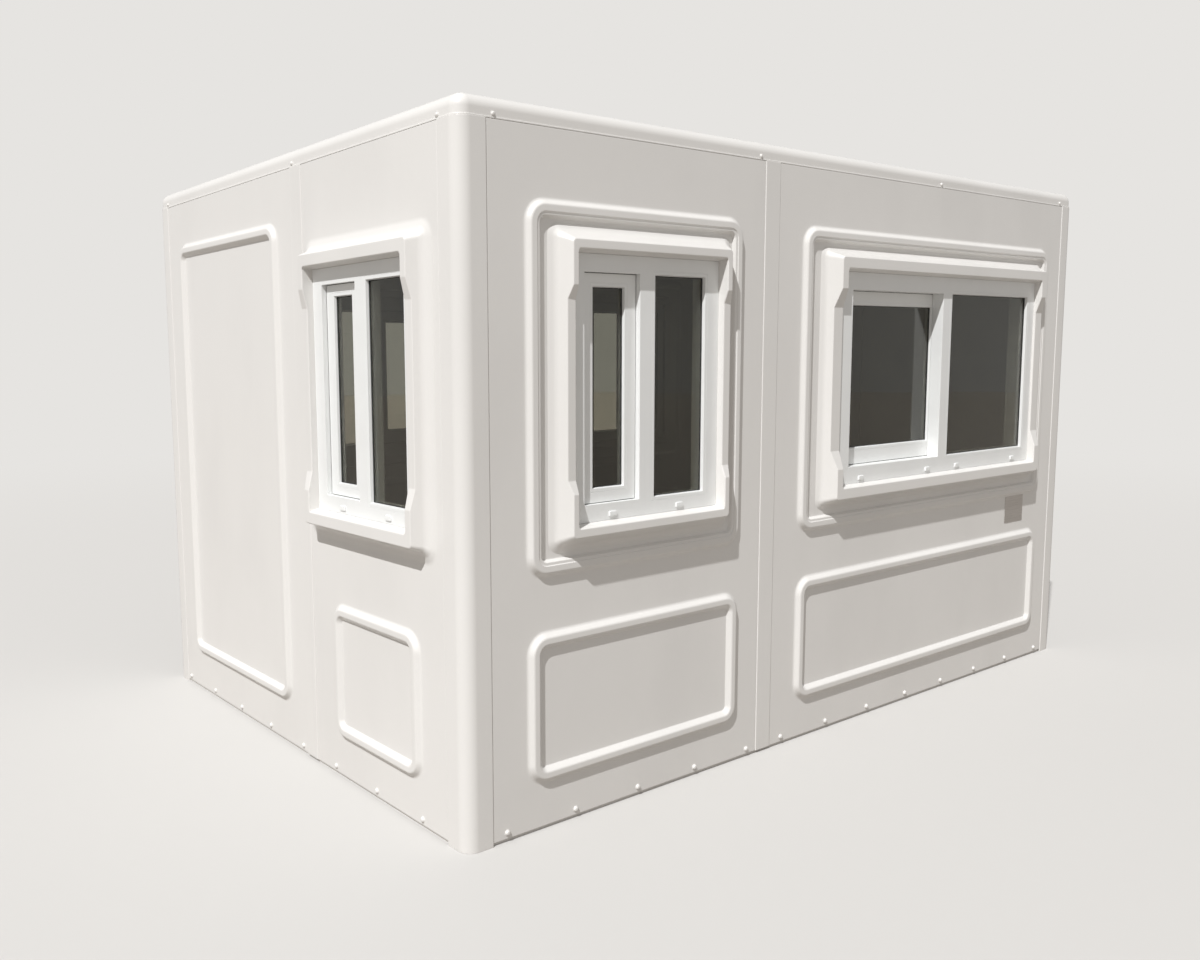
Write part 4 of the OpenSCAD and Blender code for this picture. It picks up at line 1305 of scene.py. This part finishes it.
def drain_cap():
    """A small hooded cap over a drain slot, standing along z with its long side along x."""
    fixings = settings().fixings
    half, tall = fixings.cap_width / 2, fixings.cap_height / 2
    outline = soft_box(-half, half, -tall, tall, *DRAIN_CORNERS, steps=6)
    bend = [(DRAIN_EDGE * (1 - math.cos(t)), DRAIN_EDGE * (1 - math.sin(t))) for t in quarter_turns(5)]
    return stack(outline, [(0, 0)] + [(inwards, fixings.cap_reach - drop) for inwards, drop in bend])


def fixing_tree(name, finish):
    """Geometry nodes that set a fixing on every point, with x along the wall and z out of it."""
    tree = bpy.data.node_groups.new(name, "GeometryNodeTree")
    for socket, in_out, kind in (
        ("Points", "INPUT", "Geometry"), ("Fixing", "INPUT", "Object"), ("Largest spin", "INPUT", "Float"),
        ("Spin seed", "INPUT", "Int"), ("Geometry", "OUTPUT", "Geometry"),
    ):
        tree.interface.new_socket(socket, in_out=in_out, socket_type="NodeSocket" + kind)
    given = add_node(tree, "NodeGroupInput").outputs
    along = add_node(tree, "GeometryNodeInputNamedAttribute", {"Name": "along"}, data_type="FLOAT_VECTOR")
    stand = add_node(
        tree, "FunctionNodeAxesToRotation", {"Secondary Axis": (0, 0, 1)},
        {"Primary Axis": along.outputs["Attribute"]}, primary_axis="X", secondary_axis="Y",
    )
    spin = add_node(
        tree, "FunctionNodeRandomValue", {"Min": 0.0},
        {"Max": given["Largest spin"], "Seed": given["Spin seed"]}, data_type="FLOAT",
    )
    about_z = add_node(tree, "ShaderNodeCombineXYZ", links={"Z": spin.outputs[1]})
    turned = add_node(
        tree, "FunctionNodeRotateRotation", rotation_space="LOCAL",
        links={"Rotation": stand.outputs["Rotation"], "Rotate By": about_z.outputs["Vector"]},
    )
    shape = add_node(tree, "GeometryNodeObjectInfo", links={"Object": given["Fixing"]}).outputs["Geometry"]
    placed = add_node(
        tree, "GeometryNodeInstanceOnPoints",
        links={"Points": given["Points"], "Instance": shape, "Rotation": turned.outputs["Rotation"]},
    )
    real = add_node(tree, "GeometryNodeRealizeInstances", links={"Geometry": placed.outputs["Instances"]})
    values = {"Material": material(finish)}
    finished = add_node(tree, "GeometryNodeSetMaterial", values, {"Geometry": real.outputs["Geometry"]})
    add_node(tree, "NodeGroupOutput", links={"Geometry": finished.outputs["Geometry"]})
    return tree


def set_fixings(name, shape, places, slot, node, finish, spin=0.0):
    """Sets a copy of the shape on each (wall, x, depth, z) place and stands for the CAD node."""
    pattern = smooth_object(shape, name + "_pattern", CAP_SHARP_DEGREES)
    points = bpy.data.meshes.new(name)
    points.from_pydata([WALLS[wall] @ Vector((x, depth, z)) for wall, x, depth, z in places], [], [])
    along = points.attributes.new("along", "FLOAT_VECTOR", "POINT")
    for index, (wall, *_) in enumerate(places):
        along.data[index].vector = WALLS[wall].to_3x3() @ Vector((1, 0, 0))
    piece = link_object(name, points)
    modifier = piece.modifiers.new("fixings", "NODES")
    modifier.node_group = fixing_tree(name + "_nodes", finish)
    values = {"Fixing": pattern, "Largest spin": spin, "Spin seed": settings().fixings.spin_seed}
    for socket in modifier.node_group.interface.items_tree:
        if socket.name in values and socket.in_out == "INPUT":
            modifier[socket.identifier] = values[socket.name]
    apply_modifiers(piece)
    bpy.data.objects.remove(pattern)
    ride(piece, slot, node)


def bolt_places():
    """As many bolts as fit along each panel but the doorway's, centred on it."""
    sizes, fixings = settings().sizes, settings().fixings
    low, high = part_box("base_bolts")
    long_wall = ("narrow", "wide")
    panels = {"front": long_wall, "back": long_wall, "left": ("blank", "window"), "right": ("window",)}
    for wall, kinds in panels.items():
        for kind in kinds:
            left, right = (corner.x for corner in wall_box(f"{wall}_{kind}_panel", wall))
            gaps = math.floor((right - left - 2 * fixings.bolt_margin) / fixings.bolt_spacing)
            for index in range(gaps + 1):
                x = (left + right) / 2 + (index - gaps / 2) * fixings.bolt_spacing
                yield wall, x, sizes.panel_setback, (low.z + high.z) / 2


def screw_places():
    """Screws through the roof's band beside the posts and the joints."""
    sizes, offset = settings().sizes, settings().fixings.screw_offset
    height = seam_height() + settings().fixings.screw_height
    for wall in WALLS:
        joint = wall_box(f"{wall}_joint_post", wall)
        if wall in ("front", "back"):
            narrow = wall_box(f"{wall}_narrow_panel", wall)
            wide = wall_box(f"{wall}_wide_panel", wall)
            places = (
                narrow[0].x + offset, narrow[1].x - offset, (wide[0].x + wide[1].x) / 2, wide[1].x - offset
            )
        else:
            panel = wall_box(f"{wall}_window_panel", wall)
            post_low, post_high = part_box("front_left_post")
            places = (post_high.x - post_low.x, (joint[0].x + joint[1].x) / 2 - offset, panel[1].x)
        for x in places:
            yield wall, x, sizes.roof_setback, height


def cap_places():
    """Caps over the drain slots under each light; a light of a wide window has two of them."""
    fixings = settings().fixings
    for stem, wall, window in all_windows():
        glazing = Glazing(stem, wall, window)
        height = glazing.frame_rect[2] - glazing.sizes.clearance + fixings.cap_rise
        half = fixings.cap_spacing / 2
        for light in (glazing.sash_light, glazing.fixed_light):
            middle = (light[0] + light[1]) / 2
            for x in (middle - half, middle + half) if "wide" in stem else (middle,):
                yield wall, x, glazing.face, height


class CABIN_OT_fixings(bpy.types.Operator):
    """Sets the base bolts, roof screws, drain caps and the bare plate"""

    bl_idname = "cabin.fixings"
    bl_label = "Fixings"

    def execute(self, context):
        fixings = settings().fixings
        full_turn = 4 * QUARTER
        bolt = domed_cap(fixings.bolt_diameter, fixings.bolt_reach)
        bolts = list(bolt_places())
        set_fixings("base_bolt_caps", bolt, bolts, "fixing_caps", "base_bolts", "cap", full_turn)
        screw = domed_cap(fixings.screw_diameter, fixings.screw_reach)
        screws = list(screw_places())
        set_fixings("roof_screw_caps", screw, screws, "fixing_caps", "roof_screws", "cap", full_turn)
        set_fixings("drain_slot_caps", drain_cap(), list(cap_places()), "white_pvc", "drain_caps", "pvc")

        low, high = wall_box("blank_plate", "front")
        outline = soft_box(low.x, high.x, low.z, high.z, BARE_CORNER, steps=6)
        bm = prism(outline, -high.y, -low.y, BARE_EDGE)
        upright = WALLS["front"] @ STAND_UP
        finish_piece(bm, "bare_plate", upright, "plate_metal", "blank_plate", finish="plate")
        return {"FINISHED"}


# ---- stage ----

# Where the camera stands and looks: yaw, pitch and roll in degrees, and its place in metres
CAMERA_TURN = (36.54, 6.75, -0.695)
CAMERA_PLACE = (-3.8313, -3.8830, 1.6098)
LENS_MM = 31.58
SENSOR_MM = 36.0
CAMERA_SHIFT = 0.10
KEY_DIRECTION = (2.2, 1.0, -3.05)
KEY_STRENGTH = 3.7
KEY_SOFTNESS_DEGREES = 0.8
SKY_STRENGTH = 0.425
SKY_COLOUR = (1, 0.98, 0.96, 1)
# How much of its pale colour the floor throws back on the cabin, and shows to the camera
FLOOR_BOUNCE = (0.38, 0.355, 0.33)
FLOOR_SHOWN = (0.72, 0.72, 0.72)
FLOOR_ROUGHNESS = 0.85
STAGE_RADIUS = 40.0
STAGE_SEGMENTS = 96
# Between these distances from the cabin's middle, in metres, the floor fades into the backdrop
FADE_START = 4.5
FADE_END = 14.0


def camera_matrix():
    """The camera's place and its turn: yaw from +Y towards +X, pitch down, roll about its view."""
    yaw, pitch, roll = [math.radians(angle) for angle in CAMERA_TURN]
    matrix = Matrix.Translation(CAMERA_PLACE)
    for angle, axis in ((-yaw, "Z"), (QUARTER - pitch, "X"), (roll, "Z")):
        matrix @= Matrix.Rotation(angle, 4, axis)
    return matrix


def backdrop_mask(tree):
    """1 for what the camera sees straight on, 0 for what lights the cabin or shows in its panes."""
    return add_node(tree, "ShaderNodeLightPath").outputs["Is Camera Ray"]


def studio_world(pale):
    """A soft sky that lights the cabin, and a pale backdrop that only the camera sees."""
    world = bpy.data.worlds.new("studio")
    world.use_nodes = True
    tree = world.node_tree
    light = tree.nodes["Background"]
    light.inputs["Color"].default_value = SKY_COLOUR
    light.inputs["Strength"].default_value = SKY_STRENGTH
    shown = add_node(tree, "ShaderNodeBackground", {"Color": (*pale, 1), "Strength": 1})
    mix = add_node(
        tree, "ShaderNodeMixShader", links={0: backdrop_mask(tree), 1: light.outputs[0], 2: shown.outputs[0]}
    )
    tree.links.new(mix.outputs[0], tree.nodes["World Output"].inputs["Surface"])
    return world


def floor_material(pale):
    """Pale studio floor that fades into the backdrop far from the cabin."""
    look = Look("studio_floor", Base_Color=(*pale, 1), Roughness=FLOOR_ROUGHNESS)
    tree = look.tree
    seen = backdrop_mask(tree)
    bounce, shown = (
        (*[c * share for c, share in zip(pale, shares)], 1) for shares in (FLOOR_BOUNCE, FLOOR_SHOWN)
    )
    shade = add_node(tree, "ShaderNodeMix", {"A": bounce, "B": shown}, {"Factor": seen}, data_type="RGBA")
    tree.links.new(shade.outputs["Result"], look.inputs["Base Color"])
    glow = add_node(tree, "ShaderNodeEmission", {"Color": (*pale, 1), "Strength": 1})
    place = add_node(tree, "ShaderNodeTexCoord").outputs["Object"]
    distance = add_node(tree, "ShaderNodeVectorMath", links={0: place}, operation="LENGTH")
    far = add_node(
        tree, "ShaderNodeMapRange", {"From Min": FADE_START, "From Max": FADE_END},
        {"Value": distance.outputs["Value"]}, interpolation_type="SMOOTHSTEP",
    )
    fade = add_node(tree, "ShaderNodeMath", links={0: far.outputs["Result"], 1: seen}, operation="MULTIPLY")
    surface = tree.nodes["Principled BSDF"].outputs[0]
    blend = add_node(
        tree, "ShaderNodeMixShader", links={0: fade.outputs[0], 1: surface, 2: glow.outputs[0]}
    )
    tree.links.new(blend.outputs[0], tree.nodes["Material Output"].inputs["Surface"])
    return look.material


class CABIN_OT_stage(bpy.types.Operator):
    """Sets up the camera, the pale floor, the backdrop and the soft light"""

    bl_idname = "cabin.stage"
    bl_label = "Stage"

    def execute(self, context):
        scene = context.scene
        camera = bpy.data.cameras.new("camera")
        camera.sensor_width, camera.sensor_fit = SENSOR_MM, "HORIZONTAL"
        camera.lens, camera.shift_x = LENS_MM, CAMERA_SHIFT
        scene.camera = link_object("camera", camera)
        scene.camera.matrix_world = camera_matrix()

        key = bpy.data.lights.new("key", "SUN")
        key.energy, key.angle = KEY_STRENGTH, math.radians(KEY_SOFTNESS_DEGREES)
        direction = Vector(KEY_DIRECTION).to_track_quat("-Z", "Y")
        link_object("key", key).rotation_euler = direction.to_euler()

        pale = settings().finishes.floor
        scene.world = studio_world(pale)
        bm = bmesh.new()
        bmesh.ops.create_circle(bm, cap_ends=True, segments=STAGE_SEGMENTS, radius=STAGE_RADIUS)
        mesh = bpy.data.meshes.new("studio_floor")
        bm.to_mesh(mesh)
        bm.free()
        mesh.materials.append(floor_material(pale))
        link_object("studio_floor", mesh)
        scene.view_settings.view_transform = "Standard"
        return {"FINISHED"}


# ---- the add-on ----

OPERATORS = (
    CABIN_OT_stage, CABIN_OT_base, CABIN_OT_panels, CABIN_OT_posts, CABIN_OT_roof,
    CABIN_OT_windows, CABIN_OT_door, CABIN_OT_fixings,
)


class CABIN_PT_pieces(bpy.types.Panel):
    """Lists the pieces of the cabin and its sizes"""

    bl_label = "Cabin"
    bl_space_type = "VIEW_3D"
    bl_region_type = "UI"
    bl_category = "Cabin"

    def draw(self, context):
        for operator in OPERATORS:
            self.layout.operator(operator.bl_idname)
        for key, group in GROUPS.items():
            box = self.layout.box()
            box.label(text=group.__doc__)
            for field in group.__annotations__:
                box.prop(getattr(context.scene.cabin, key), field)


CLASSES = (*GROUPS.values(), CabinSettings, *OPERATORS, CABIN_PT_pieces)


def register():
    """Adds the classes and the scene's settings to Blender."""
    for cls in CLASSES:
        bpy.utils.register_class(cls)
    bpy.types.Scene.cabin = PointerProperty(type=CabinSettings)


def unregister():
    """Takes the settings and the classes out of Blender."""
    del bpy.types.Scene.cabin
    for cls in reversed(CLASSES):
        bpy.utils.unregister_class(cls)


def main():
    """Sets the stage, builds every piece, and writes the cabin's box before and after."""
    register()
    for operator in OPERATORS:
        group, name = operator.bl_idname.split(".")
        getattr(getattr(bpy.ops, group), name)()


if __name__ == "__main__":
    main()
